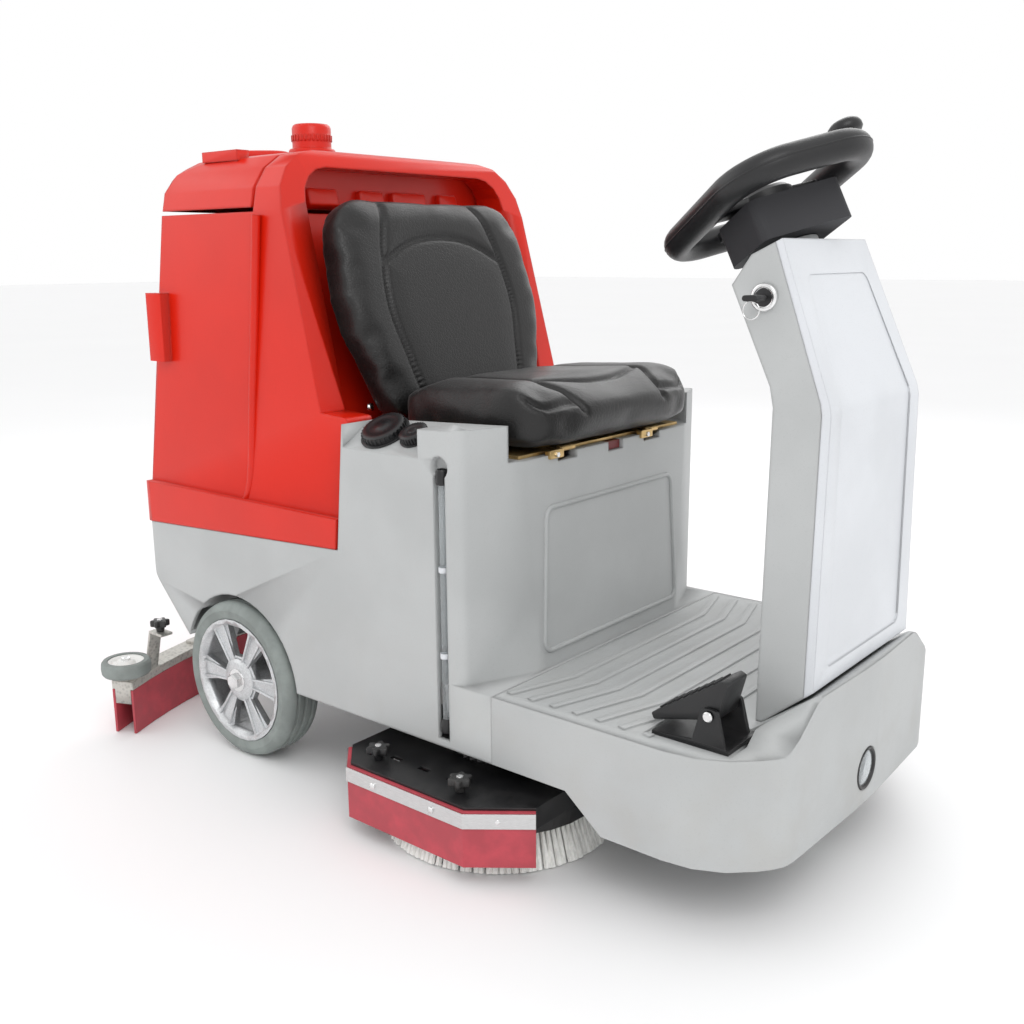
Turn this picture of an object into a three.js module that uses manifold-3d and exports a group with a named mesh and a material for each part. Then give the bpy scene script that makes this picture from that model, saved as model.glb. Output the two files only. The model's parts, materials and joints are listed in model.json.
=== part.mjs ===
// Ride-on floor scrubber: solution tank and seat base, recovery tank, steering column, front drive
// wheel, two disc brushes under a lifting deck and a swivelling squeegee.
// Millimetres. +X is the driver's forward direction, +Y the driver's left, +Z up, floor at z = 0.
// Everything is placed from the rear axle (x = 0); the finished group is then centred over its box.

import * as THREE from "three";
import { mergeVertices } from "three/addons/utils/BufferGeometryUtils.js";
import Module from "manifold-3d";

// ---------------------------------------------------------------- driving dimensions

// Body
const BODY_HALF_WIDTH = 345;
const BODY_REAR_X = -276;
const BODY_FRONT_X = 1081;
const BODY_SPLIT_X = 622; // joint between the solution tank and the footboard moulding
const WALL = 8; // moulded wall
const REACH = BODY_HALF_WIDTH + 55; // half length of a cut that runs right across the body
const GAP = 0.4; // clearance between pieces that sit face to face
const RUN = 1.5; // clearance round a part that turns or slides
const FOOT_Z = 272; // top of the footboard
const DECK_CUT_Z = 162; // lower edge of the body over the brush deck
const SKIRT_Z = 110; // lower edge of the front skirt
const SKIRT_RAMP_X = 762; // where the lower edge starts to drop to the skirt
const SKIRT_START_X = 826;
const REAR_STEP_Z = 333; // rear face turns forward below this height
const REAR_TOE_X = -145;
const REAR_TOE_Z = 196;
const CORNER_R = 30;
const RIB_COUNT = 7;
const RIB_PITCH = 41;
const RIB_FIRST_X = 650;
const RIB_WIDTH = 13;
const RIB_HEIGHT = 3;

// Seat base
const SEAT_BASE_REAR_X = 289;
const SEAT_BASE_FRONT_X = 614;
const SEAT_BASE_LEAN = 14; // how far the front face leans back over its height
const SEAT_BASE_WING_X = 558; // where the angled wing meets the side
const SEAT_BASE_FLAT_HALF = 205; // half width of the flat front panel
const SHOULDER_REAR_Z = 662;
const SHOULDER_FRONT_Z = 675;
const SEAT_WELL_HALF = 262;
const SEAT_WELL_Z = 618;

// Batteries, in a well that opens under the seat
const BATTERY_LENGTH = 262;
const BATTERY_HALF_WIDTH = 205;
const BATTERY_HEIGHT = 250;
const BATTERY_REAR_X = 312;
const BATTERY_CLEARANCE = 10;

// Recovery tank
const SEAM_REAR_Z = 418;
const SEAM_FRONT_Z = 448;
const TANK_FRONT_X = 283;
const TANK_SHOULDER_X = 306;
const TANK_SHOULDER_Z = 668;
const TANK_HALF_WIDTH = 327;
const TANK_TOP_Z = 1106;
const TANK_REAR_LEAN = 84; // how far the rear face leans forward from the bumper to the lid
const TANK_TOP_R = 105;
const BUMPER_HEIGHT = 82;
const ARCH_FOOT_X = 236; // front plane of the arch round the seat back, at its foot
const ARCH_SLOPE = 0.248; // x lost for each millimetre of height
const ARCH_BORDER = 52;
const RECESS_DEPTH = 78;
const RECESS_FOOT_Z = 622;
const LID_Z = 1008; // underside of the lid's edge
const LID_FRONT_X = 74;
const SEAL_HEIGHT = 7;
const TANK_CAP_R = 43;
const TANK_CAP_X = -20;
const TANK_CAP_Y = -93;
const TANK_CAP_HEIGHT = 58;

// Rear wheels
const REAR_WHEEL_R = 150;
const REAR_WHEEL_WIDTH = 84;
const REAR_WHEEL_OUTER_Y = 356;
const REAR_RIM_R = 118;
const ARCH_CLEARANCE = 14;
const AXLE_R = 14;

// Drive wheel and steering
const DRIVE_X = 930;
const DRIVE_WHEEL_R = 105;
const DRIVE_WHEEL_WIDTH = 66;
const FORK_PLATE = 8;
const FORK_SPROCKET_R = 60;
const SHAFT_SPROCKET_R = 21;
const CHAIN_THICKNESS = 5;
const SPROCKET_Z = 229;
const SPROCKET_THICKNESS = 6;
const LOWER_SHAFT_X = 1015;
const STEERING_TILT = 26; // degrees, wheel and console lean towards the seat
const STEERING_TURN = -33; // degrees, the wheel stands turned to the right
const WHEEL_X = 864.5;
const WHEEL_Z = 1003;
const WHEEL_LENGTH = 336;
const WHEEL_WIDTH = 250;
const WHEEL_CORNER_R = 88;
const GRIP_R = 18;
const SHAFT_R = 8;

// Column
const COLUMN_REAR_X = 976;
const COLUMN_FRONT_X = 1060;
const COLUMN_BEND_Z = 724;
const COLUMN_TOP_HALF = 134;
const COLUMN_BEND_HALF = 160;
const COLUMN_FOOT_HALF = 176;
const NOSE_Z = 332;
const NOSE_REAR_X = 985;
const COVER_THICKNESS = 13;
const COLUMN_WALL = 7;
const CONSOLE_LENGTH = 122;
const CONSOLE_WIDTH = 150;
const CONSOLE_HEIGHT = 60;
const CONSOLE_DROP = 20; // console top below the plane of the steering wheel
const CONSOLE_FORWARD = 22; // console centre ahead of the steering axis
const CONSOLE_WALL = 4;
const NECK_R = 52;
const NECK_HEIGHT = 14; // collar between the column's top and the console

// Brush deck
const BRUSH_X = 540;
const BRUSH_Y = 228;
const BRUSH_TIP_R = 200;
const BRUSH_ROOT_R = 176;
const BRUSH_BLOCK_Z = 58;
const BRUSH_BLOCK_HEIGHT = 26;
const BRUSH_HOLE_R = 62;
const DECK_TOP_Z = 128;
const DECK_THICKNESS = 5;
const DECK_LIP_Z = 92;
const DECK_HALF_WIDTH = 428;
const DECK_REAR_X = 345;
const DECK_FRONT_X = 722;
const DECK_REAR_CHAMFER = 48;
const DECK_FRONT_CHAMFER = 84;
const APRON_THICKNESS = 6;
const APRON_BOTTOM_Z = 34;
const STRIP_THICKNESS = 2;
const STRIP_HEIGHT = 24;
const BRUSH_MOTOR_R = 62;
const BRUSH_MOTOR_HEIGHT = 64;

// Squeegee
const SQUEEGEE_HALF = 436;
const SQUEEGEE_END_X = -262;
const SQUEEGEE_MID_X = -372;
const SQUEEGEE_BAR_WIDTH = 46;
const SQUEEGEE_BAR_Z = 62;
const SQUEEGEE_BAR_HEIGHT = 46;
const BLADE_THICKNESS = 5;
const ROLLER_R = 48;
const ROLLER_HEIGHT = 30;

// Seat
const SEAT_HALF_WIDTH = 248;
const SEAT_FRONT_X = 648;
const SEAT_REAR_X = 306;
const SEAT_BOTTOM_Z = 640;
const SEAT_HEIGHT = 84;
const SEAT_BACK_HEIGHT = 400;
const SEAT_BACK_THICKNESS = 52;
const SEAT_BACK_LEAN = 17;
const SEAT_HINGE_X = 598;
const SEAT_HINGE_Z = 624;
const SEAT_PLATE = 5;

// ---------------------------------------------------------------- finishes

const finish = (color, roughness, metalness = 0) =>
  new THREE.MeshStandardMaterial({ color, roughness, metalness });

const FINISH = {
  greyMoulding: () => finish(0xb9bcbc, 0.5),
  whiteMoulding: () => finish(0xe9ebee, 0.4),
  redMoulding: () => finish(0xd8281c, 0.32),
  blackPlastic: () => finish(0x17181a, 0.45),
  vinyl: () => finish(0x1b1b1c, 0.4),
  blackPaint: () => finish(0x111214, 0.5, 0.2),
  steel: () => finish(0xb4b6b8, 0.35, 0.9),
  zinc: () => finish(0xa8a499, 0.45, 0.8),
  alloy: () => finish(0xc9ccce, 0.35, 0.7),
  greyTyre: () => finish(0x7f8785, 0.7),
  redRubber: () => finish(0xa3303a, 0.65),
  bristle: () => finish(0xf0f0ee, 0.8),
  clearPlastic: () => finish(0xdfe6ea, 0.15),
  brass: () => finish(0xb08d4a, 0.4, 0.8),
  redPlastic: () => finish(0x8e1518, 0.5),
};

// ---------------------------------------------------------------- solids

const wasm = await Module();
wasm.setup();

const rad = THREE.MathUtils.degToRad;

function toManifold(geometry) {
  const bare = geometry.index ? geometry.toNonIndexed() : geometry.clone();
  bare.deleteAttribute("normal");
  bare.deleteAttribute("uv");
  const merged = mergeVertices(bare, 1e-4);
  return new wasm.Manifold(
    new wasm.Mesh({
      numProp: 3,
      vertProperties: merged.attributes.position.array,
      triVerts: new Uint32Array(merged.index.array),
    }),
  );
}

function toGeometry(manifold) {
  const mesh = manifold.getMesh();
  const geometry = new THREE.BufferGeometry();
  const stride = mesh.numProp;
  const positions = new Float32Array(mesh.numVert * 3);
  for (let i = 0; i < mesh.numVert; i += 1)
    for (let k = 0; k < 3; k += 1) positions[3 * i + k] = mesh.vertProperties[stride * i + k];
  geometry.setAttribute("position", new THREE.BufferAttribute(positions, 3));
  geometry.setIndex(new THREE.BufferAttribute(new Uint32Array(mesh.triVerts), 1));
  const loose = geometry.toNonIndexed();
  loose.computeVertexNormals();
  return loose;
}

const combine = (method, first, rest) =>
  toGeometry(rest.reduce((made, next) => made[method](toManifold(next)), toManifold(first)));
const join = (first, ...rest) => combine("add", first, rest);
const cut = (first, ...rest) => combine("subtract", first, rest);
const common = (first, ...rest) => combine("intersect", first, rest);

const box = (x0, x1, y0, y1, z0, z1) =>
  new THREE.BoxGeometry(x1 - x0, y1 - y0, z1 - z0).translate(
    (x0 + x1) / 2,
    (y0 + y1) / 2,
    (z0 + z1) / 2,
  );

// A cylinder about an axis through a centre; three.js cylinders stand along Y.
function cylinder(axis, radius, length, [x, y, z], sides = 24, radiusEnd = radius) {
  const geometry = new THREE.CylinderGeometry(radiusEnd, radius, length, sides);
  if (axis === "x") geometry.rotateZ(-Math.PI / 2);
  if (axis === "z") geometry.rotateX(Math.PI / 2);
  return geometry.translate(x, y, z);
}

// A turned solid from [radius, height] points that start and end on the axis or close on themselves.
function turned(axis, profile, [x, y, z], sides = 24) {
  const points = profile.map(([r, h]) => new THREE.Vector2(r, h));
  const geometry = new THREE.LatheGeometry(points, sides);
  if (axis === "x") geometry.rotateZ(-Math.PI / 2);
  if (axis === "z") geometry.rotateX(Math.PI / 2);
  return geometry.translate(x, y, z);
}

// Replaces each [x, y, radius] corner of an outline by an arc of that radius.
function rounded(corners, step = 20) {
  const points = [];
  corners.forEach(([x, y, radius = 0], i) => {
    const at = new THREE.Vector2(x, y);
    const before = new THREE.Vector2(...corners.at(i - 1).slice(0, 2)).sub(at).normalize();
    const after = new THREE.Vector2(...corners[(i + 1) % corners.length].slice(0, 2)).sub(at).normalize();
    const half = Math.acos(THREE.MathUtils.clamp(before.dot(after), -1, 1)) / 2;
    if (radius === 0 || half > Math.PI / 2 - 0.01) {
      points.push(at);
      return;
    }
    const reach = radius / Math.tan(half);
    const start = at.clone().addScaledVector(before, reach);
    const centre = at.clone().addScaledVector(before.clone().add(after).normalize(), radius / Math.sin(half));
    const from = start.clone().sub(centre);
    const turn = (Math.PI - 2 * half) * Math.sign(after.cross(before));
    const steps = Math.max(1, Math.round(Math.abs(turn) / rad(step)));
    for (let k = 0; k <= steps; k += 1)
      points.push(from.clone().rotateAround(new THREE.Vector2(), (turn * k) / steps).add(centre));
  });
  return points;
}

// Moves every edge of an outline inwards by a distance.
function inset(corners, distance) {
  const points = corners.map(([x, y]) => new THREE.Vector2(x, y));
  const inward = Math.sign(THREE.ShapeUtils.area(points));
  const edges = points.map((p, i) => {
    const next = points[(i + 1) % points.length];
    const along = next.clone().sub(p).normalize();
    const normal = new THREE.Vector2(-along.y, along.x).multiplyScalar(inward * distance);
    return { start: p.clone().add(normal), along };
  });
  return corners.map(([, , radius = 0], i) => {
    const a = edges.at(i - 1);
    const b = edges[i];
    const t = b.start.clone().sub(a.start).cross(b.along) / a.along.cross(b.along);
    const corner = a.start.clone().addScaledVector(a.along, t);
    return [corner.x, corner.y, Math.max(radius - distance, 0)];
  });
}

// Extrudes an outline: along z it holds [x, y], along y [x, z] and along x [y, z].
function prism(axis, corners, from, to, holes = []) {
  const shape = new THREE.Shape(rounded(corners));
  shape.holes = holes.map((hole) => new THREE.Path(rounded(hole)));
  const geometry = new THREE.ExtrudeGeometry(shape, { depth: to - from, bevelEnabled: false, curveSegments: 1 });
  if (axis === "z") return geometry.translate(0, 0, from);
  if (axis === "y") return geometry.rotateX(Math.PI / 2).translate(0, to, 0);
  return geometry.rotateX(Math.PI / 2).rotateZ(Math.PI / 2).translate(from, 0, 0);
}

// Offsets an open polyline sideways and closes it into a strip of a given width.
function strip(points, near, far) {
  const side = (distance) =>
    points.map(([x, y], i) => {
      const at = new THREE.Vector2(x, y);
      const back = i > 0 ? at.clone().sub(new THREE.Vector2(...points[i - 1])).normalize() : null;
      const on = i < points.length - 1 ? new THREE.Vector2(...points[i + 1]).sub(at).normalize() : null;
      const along = (back && on ? back.clone().add(on) : (back ?? on)).normalize();
      const stretch = back && on ? 1 / along.dot(on) : 1;
      return [at.x - along.y * distance * stretch, at.y + along.x * distance * stretch];
    });
  return [...side(near), ...side(far).reverse()];
}

const mirrored = (geometry) => {
  const copy = (geometry.index ? geometry.toNonIndexed() : geometry.clone()).scale(1, -1, 1);
  const position = copy.attributes.position;
  const swap = new THREE.Vector3();
  const other = new THREE.Vector3();
  for (let i = 0; i < position.count; i += 3) {
    swap.fromBufferAttribute(position, i + 1);
    other.fromBufferAttribute(position, i + 2);
    position.setXYZ(i + 1, other.x, other.y, other.z);
    position.setXYZ(i + 2, swap.x, swap.y, swap.z);
  }
  copy.computeVertexNormals();
  return copy;
};

const machine = new THREE.Group();

function add(name, geometry, material, parent = machine) {
  const mesh = new THREE.Mesh(geometry, material());
  mesh.name = name;
  parent.add(mesh);
  return mesh;
}

const SIDES = [
  ["right", -1],
  ["left", 1],
];

// ---------------------------------------------------------------- body mouldings

const bodyPlan = [
  [BODY_REAR_X, -BODY_HALF_WIDTH, CORNER_R],
  [1000, -BODY_HALF_WIDTH, 150],
  [1071, -256, 60],
  [BODY_FRONT_X, 0, 900],
  [1071, 256, 60],
  [1000, BODY_HALF_WIDTH, 150],
  [BODY_REAR_X, BODY_HALF_WIDTH, CORNER_R],
];

const seatBasePlan = [
  [BODY_REAR_X, -BODY_HALF_WIDTH, CORNER_R],
  [SEAT_BASE_WING_X, -BODY_HALF_WIDTH, 28],
  [SEAT_BASE_FRONT_X, -SEAT_BASE_FLAT_HALF, 60],
  [SEAT_BASE_FRONT_X, SEAT_BASE_FLAT_HALF, 60],
  [SEAT_BASE_WING_X, BODY_HALF_WIDTH, 28],
  [BODY_REAR_X, BODY_HALF_WIDTH, CORNER_R],
];

const seatBaseTopX = SEAT_BASE_FRONT_X - SEAT_BASE_LEAN;
const seatBaseRearTopX = TANK_SHOULDER_X + GAP + 4;
const batteryFloorZ = FOOT_Z;
const batteryWell = [
  BATTERY_REAR_X - BATTERY_CLEARANCE,
  BATTERY_REAR_X + BATTERY_LENGTH + BATTERY_CLEARANCE,
  BATTERY_HALF_WIDTH + BATTERY_CLEARANCE,
];

const tankSide = [
  [BODY_REAR_X, SEAM_REAR_Z],
  [BODY_REAR_X, REAR_STEP_Z],
  [REAR_TOE_X, REAR_TOE_Z],
  [REAR_TOE_X + 40, DECK_CUT_Z],
  [SKIRT_RAMP_X, DECK_CUT_Z],
  [SKIRT_RAMP_X, FOOT_Z],
  [SEAT_BASE_FRONT_X, FOOT_Z],
  [seatBaseTopX, SHOULDER_FRONT_Z],
  [seatBaseRearTopX, SHOULDER_REAR_Z],
  [SEAT_BASE_REAR_X, SEAM_FRONT_Z],
];

const wheelArch = (grow, side) =>
  cylinder(
    "y",
    REAR_WHEEL_R + ARCH_CLEARANCE + grow,
    200,
    [0, side * (REAR_WHEEL_OUTER_Y - REAR_WHEEL_WIDTH - ARCH_CLEARANCE - grow + 100), REAR_WHEEL_R],
    48,
  );

function boxAround([rear, front, half], grow, z0, z1) {
  return box(rear - grow, front + grow, -half - grow, half + grow, z0, z1);
}

const FILLER = { x: 370, y: -304, radius: 27, capRadius: 42, tilt: 30 };
const SMALL_FILLER = { x: 439, y: -306, radius: 17, capRadius: 26, tilt: 30 };
const FILLER_EDGE_X = [312, 480];
const SIGHT = { x: 523, bottom: 186, top: 612, width: 24, depth: 14 };

function solutionTank() {
  const outerPlan = join(
    prism("z", [...bodyPlan.slice(0, 1), [BODY_SPLIT_X, -BODY_HALF_WIDTH], [BODY_SPLIT_X, BODY_HALF_WIDTH],
      ...bodyPlan.slice(-1)], 0, FOOT_Z),
    prism("z", seatBasePlan, FOOT_Z - 1, 800),
  );
  const outer = common(outerPlan, prism("y", tankSide, -REACH, REACH));

  const underside = prism(
    "y",
    [
      [REAR_TOE_X - 49, FOOT_Z - WALL],
      [REAR_TOE_X + 11, REAR_TOE_Z],
      [REAR_TOE_X + 60, 0],
      [BODY_SPLIT_X + 1, 0],
      [BODY_SPLIT_X + 1, FOOT_Z - WALL],
    ],
    WALL - BODY_HALF_WIDTH,
    BODY_HALF_WIDTH - WALL,
  );
  const seatWell = box(seatBaseRearTopX - 60, 700, -SEAT_WELL_HALF, SEAT_WELL_HALF, SEAT_WELL_Z, 800);

  // The water space is the outer shape moved in by one wall, less everything that stands in it.
  const hollowSide = inset(
    [
      [BODY_REAR_X, SEAM_REAR_Z],
      [BODY_REAR_X, REAR_STEP_Z],
      [BODY_REAR_X + 54, FOOT_Z - WALL],
      [SEAT_BASE_FRONT_X - 2, FOOT_Z - WALL],
      [seatBaseTopX, SHOULDER_FRONT_Z],
      [seatBaseRearTopX, SHOULDER_REAR_Z],
      [SEAT_BASE_REAR_X, SEAM_FRONT_Z],
    ],
    WALL,
  );
  const hollow = cut(
    common(prism("z", inset(seatBasePlan, WALL), 0, 800), prism("y", hollowSide, -REACH, REACH)),
    boxAround(batteryWell, WALL, 0, 800),
    box(seatBaseRearTopX - 60, 700, -SEAT_WELL_HALF - WALL, SEAT_WELL_HALF + WALL, SEAT_WELL_Z - WALL, 800),
    box(batteryWell[1], 700, -SEAT_WELL_HALF, SEAT_WELL_HALF, 0, 800),
    ...SIDES.map(([, side]) => wheelArch(WALL, side)),
    box(SIGHT.x - SIGHT.width, SIGHT.x + SIGHT.width, -REACH, SIGHT.depth + WALL - BODY_HALF_WIDTH, 0, SIGHT.top + 20),
    fillerFacet(WALL),
  );
  const fillers = [FILLER, SMALL_FILLER].map(({ x, y, radius }) =>
    cylinder("z", radius, 160, [x, y, SHOULDER_REAR_Z], 24));
  const sightGroove = join(
    box(SIGHT.x - SIGHT.width / 2, SIGHT.x + SIGHT.width / 2, -REACH, SIGHT.depth - BODY_HALF_WIDTH,
      SIGHT.bottom - 12, SIGHT.top + 12),
    cylinder("y", SIGHT.width * 0.75, 40, [SIGHT.x, SIGHT.depth - BODY_HALF_WIDTH - 20, SIGHT.top + 2], 24),
  );
  const hingeNotches = [-1, 1].map((side) =>
    box(seatBaseTopX - 22, 700, side * HINGE_Y - 26, side * HINGE_Y + 26, SEAT_WELL_Z - 12, 800));
  const socketNotch = box(seatBaseTopX - 30, 700, SOCKET_Y - 22, SOCKET_Y + 22, SEAT_WELL_Z - 16, 800);
  return cut(
    outer,
    underside,
    seatWell,
    boxAround(batteryWell, 0, batteryFloorZ, 800),
    ...SIDES.map(([, side]) => wheelArch(0, side)),
    fillerFacet(0),
    hollow,
    ...fillers,
    sightGroove,
    ...hingeNotches,
    socketNotch,
  );
}

const HINGE_Y = 125;
const SOCKET_Y = 12;

// The sloping face on the right shoulder that the filler caps sit on, as the solid it removes.
function fillerFacet(drop) {
  const slope = Math.tan(rad(FILLER.tilt));
  const innerZ = SHOULDER_REAR_Z + 8 - drop;
  return prism(
    "x",
    [
      [-SEAT_WELL_HALF - 4, innerZ],
      [-SEAT_WELL_HALF - 4, innerZ + 90],
      [-400, innerZ + 90],
      [-400, innerZ - (400 - SEAT_WELL_HALF - 4) * slope],
    ],
    FILLER_EDGE_X[0] - drop,
    FILLER_EDGE_X[1] + drop,
  );
}

const footPlan = [
  [BODY_SPLIT_X + GAP, -BODY_HALF_WIDTH],
  ...bodyPlan.slice(1, -1),
  [BODY_SPLIT_X + GAP, BODY_HALF_WIDTH],
];

function noseBlock(drop) {
  const section = [
    [-262 + drop, 60],
    [262 - drop, 60],
    [262 - drop, FOOT_Z - drop],
    [COLUMN_FOOT_HALF + 4 - drop, NOSE_Z - drop, 30],
    [-COLUMN_FOOT_HALF - 4 + drop, NOSE_Z - drop, 30],
    [-262 + drop, FOOT_Z - drop],
  ];
  const wedge = [
    [NOSE_REAR_X, FOOT_Z - drop],
    [NOSE_REAR_X, 60],
    [1200, 60],
    [1200, NOSE_Z - drop + 2],
    [COLUMN_FRONT_X + 6, NOSE_Z - drop],
  ];
  return common(prism("x", section, 900, 1200), prism("y", wedge, -REACH, REACH));
}

function ribOutline(index) {
  const x = RIB_FIRST_X + RIB_PITCH * index;
  const reach = BODY_HALF_WIDTH - 26;
  const bend = SEAT_BASE_FLAT_HALF - 4;
  return strip([[x - 14, -reach], [x + 22, -bend], [x + 22, bend], [x - 14, reach]], -RIB_WIDTH / 2, RIB_WIDTH / 2);
}

function footboard() {
  const plan = prism("z", footPlan, SKIRT_Z, FOOT_Z);
  const belowRamp = prism(
    "y",
    [
      [BODY_SPLIT_X - 1, 0],
      [SKIRT_START_X + 8, 0],
      [SKIRT_START_X, SKIRT_Z],
      [SKIRT_RAMP_X, DECK_CUT_Z],
      [BODY_SPLIT_X - 1, DECK_CUT_Z],
    ],
    -REACH,
    REACH,
  );
  const outer = join(
    cut(plan, belowRamp),
    common(noseBlock(0), prism("z", footPlan, SKIRT_Z, 500)),
    ...Array.from({ length: RIB_COUNT }, (_, i) => prism("z", ribOutline(i), FOOT_Z - 1, FOOT_Z + RIB_HEIGHT)),
  );
  const inner = inset(footPlan, WALL).map(([x, y, r]) => [x < BODY_SPLIT_X + 2 * WALL ? BODY_SPLIT_X - 1 : x, y, r]);
  const under = join(
    prism("z", inner, 0, FOOT_Z - WALL),
    common(noseBlock(WALL), prism("z", inner, 0, 500)),
  );
  const lampHole = cylinder("x", LAMP.radius + 1, 120, [BODY_FRONT_X - 20, LAMP.y, LAMP.z], 24);
  const shaftHole = cylinder("z", SHAFT_R + 8, 200, [LOWER_SHAFT_X, 0, NOSE_Z], 24);
  const pedalRecess = box(PEDAL.rear - 8, PEDAL.front + 8, PEDAL.y - 52, PEDAL.y + 52, FOOT_Z - 3, FOOT_Z + 20);
  return cut(outer, under, lampHole, shaftHole, pedalRecess);
}

const LAMP = { y: -8, z: 166, radius: 34, depth: 26 };
const PEDAL = { rear: 880, front: 1000, y: -258 };

add("solution_tank", solutionTank(), FINISH.greyMoulding);
add("footboard", footboard(), FINISH.greyMoulding);

// ---------------------------------------------------------------- recovery tank

const archX = (z) => ARCH_FOOT_X - ARCH_SLOPE * (z - TANK_SHOULDER_Z);
const bumperRearX = BODY_REAR_X - 8;
const bumperTopZ = SEAM_REAR_Z + BUMPER_HEIGHT;
const tankRearX = BODY_REAR_X + 8;
const tankRearTopX = tankRearX + TANK_REAR_LEAN;

const upperSide = [
  [tankRearX, bumperTopZ - 20],
  [TANK_FRONT_X, SEAM_FRONT_Z + 10],
  [TANK_SHOULDER_X, TANK_SHOULDER_Z, 8],
  [ARCH_FOOT_X + 4, TANK_SHOULDER_Z + 4],
  [archX(TANK_TOP_Z), TANK_TOP_Z, 18],
  [tankRearTopX, TANK_TOP_Z - 4, 62],
  [tankRearTopX, LID_Z],
];
const lowerSide = [
  [bumperRearX, SEAM_REAR_Z + GAP],
  [TANK_FRONT_X, SEAM_FRONT_Z + GAP],
  [TANK_FRONT_X + 5, bumperTopZ],
  [bumperRearX + 10, bumperTopZ, 14],
  [bumperRearX, bumperTopZ - 26, 14],
];
const tankFace = [
  [-TANK_HALF_WIDTH - 6, 380],
  [TANK_HALF_WIDTH + 6, 380],
  [TANK_HALF_WIDTH - 12, TANK_TOP_Z - 4, TANK_TOP_R],
  [0, TANK_TOP_Z + 3, 2500],
  [-TANK_HALF_WIDTH + 12, TANK_TOP_Z - 4, TANK_TOP_R],
];
const tankPlan = [
  [bumperRearX - 20, -TANK_HALF_WIDTH - 6, CORNER_R + 20],
  [TANK_SHOULDER_X + 40, -TANK_HALF_WIDTH - 6],
  [TANK_SHOULDER_X + 40, TANK_HALF_WIDTH + 6],
  [bumperRearX - 20, TANK_HALF_WIDTH + 6, CORNER_R + 20],
];
const recessFace = [
  [-TANK_HALF_WIDTH + ARCH_BORDER + 2, RECESS_FOOT_Z, 40],
  [TANK_HALF_WIDTH - ARCH_BORDER - 2, RECESS_FOOT_Z, 40],
  [TANK_HALF_WIDTH - ARCH_BORDER - 16, TANK_TOP_Z - 30, 62],
  [-TANK_HALF_WIDTH + ARCH_BORDER + 16, TANK_TOP_Z - 30, 62],
];

function tankBody(distance) {
  return common(
    prism("y", inset(upperSide, distance), -REACH, REACH),
    prism("x", inset(tankFace, distance), -400, 400),
    prism("z", inset(tankPlan, distance), 300, 1300),
  );
}

function bumper(distance) {
  const plan = inset(
    [
      [bumperRearX, -BODY_HALF_WIDTH, CORNER_R],
      [TANK_SHOULDER_X, -BODY_HALF_WIDTH],
      [TANK_SHOULDER_X, BODY_HALF_WIDTH],
      [bumperRearX, BODY_HALF_WIDTH, CORNER_R],
    ],
    distance,
  );
  return common(prism("y", inset(lowerSide, distance), -REACH, REACH), prism("z", plan, 300, 700));
}

function recess(grow) {
  const slab = [
    [archX(600) + 200, 600],
    [archX(1200) + 200, 1200],
    [archX(1200) - RECESS_DEPTH - grow, 1200],
    [archX(600) - RECESS_DEPTH - grow, 600],
  ];
  return common(prism("y", slab, -REACH, REACH), prism("x", inset(recessFace, -grow), -400, 500));
}

const LUG = { bottom: 736, top: 862, length: 46, thickness: 14, share: 0.55 };

const lidSpace = (shrink) =>
  box(-400, LID_FRONT_X - shrink, -REACH, REACH, LID_Z + shrink, 1300);

function recoveryTank() {
  const shell = cut(join(tankBody(0), bumper(0)), lidSpace(-SEAL_HEIGHT), recess(0));
  const inside = cut(join(tankBody(WALL), bumper(WALL)), recess(WALL), box(LID_FRONT_X - WALL, 400, -REACH, REACH, 960, 1300));
  const mouth = box(tankRearTopX + 20, LID_FRONT_X - 30, -TANK_HALF_WIDTH + 50, TANK_HALF_WIDTH - 50, 940, 1300);
  const lugX = tankRearX + TANK_REAR_LEAN * LUG.share;
  const lug = box(lugX, lugX + LUG.length, -TANK_HALF_WIDTH - LUG.thickness, 6 - TANK_HALF_WIDTH, LUG.bottom, LUG.top);
  return cut(join(shell, lug), inside, mouth, recessWindow());
}

// The inspection window low on the right of the recess.
function recessWindow() {
  return box(archX(830) - RECESS_DEPTH - 3, archX(830), -238, -196, 790, 905);
}

function tankLid() {
  const cap = common(tankBody(0), lidSpace(GAP));
  const inside = common(tankBody(WALL), box(-400, LID_FRONT_X - WALL, -REACH, REACH, 900, 1300));
  const capSeat = cylinder("z", TANK_CAP_R - 6, 60, [TANK_CAP_X, TANK_CAP_Y, TANK_TOP_Z], 24);
  const handle = box(-128, -26, -262, -236, TANK_TOP_Z - 12, TANK_TOP_Z + 6);
  return cut(join(cap, handle), inside, capSeat);
}

add("recovery_tank", recoveryTank(), FINISH.redMoulding);
add("tank_lid", tankLid(), FINISH.redMoulding);

const capZ = TANK_TOP_Z + 4;
add(
  "tank_cap",
  turned(
    "z",
    [[0, 0], [TANK_CAP_R, 0], [TANK_CAP_R, TANK_CAP_HEIGHT - 6], [TANK_CAP_R - 5, TANK_CAP_HEIGHT], [0, TANK_CAP_HEIGHT]],
    [TANK_CAP_X, TANK_CAP_Y, capZ],
  ),
  FINISH.redMoulding,
);

for (const [name, filler] of [["filler_cap_large", FILLER], ["filler_cap_small", SMALL_FILLER]]) {
  const cap = add(
    name,
    turned(
      "z",
      [[0, 0], [filler.capRadius - 3, 0], [filler.capRadius, 3], [filler.capRadius, 12], [filler.capRadius - 4, 16], [0, 16]],
      [0, 0, 0],
      24,
    ),
    FINISH.blackPlastic,
  );
  const innerZ = SHOULDER_REAR_Z + 8;
  cap.position.set(
    filler.x,
    filler.y,
    innerZ + (filler.y + SEAT_WELL_HALF + 4) * Math.tan(rad(filler.tilt)) + GAP / Math.cos(rad(filler.tilt)),
  );
  cap.rotation.x = rad(filler.tilt);
}

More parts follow.
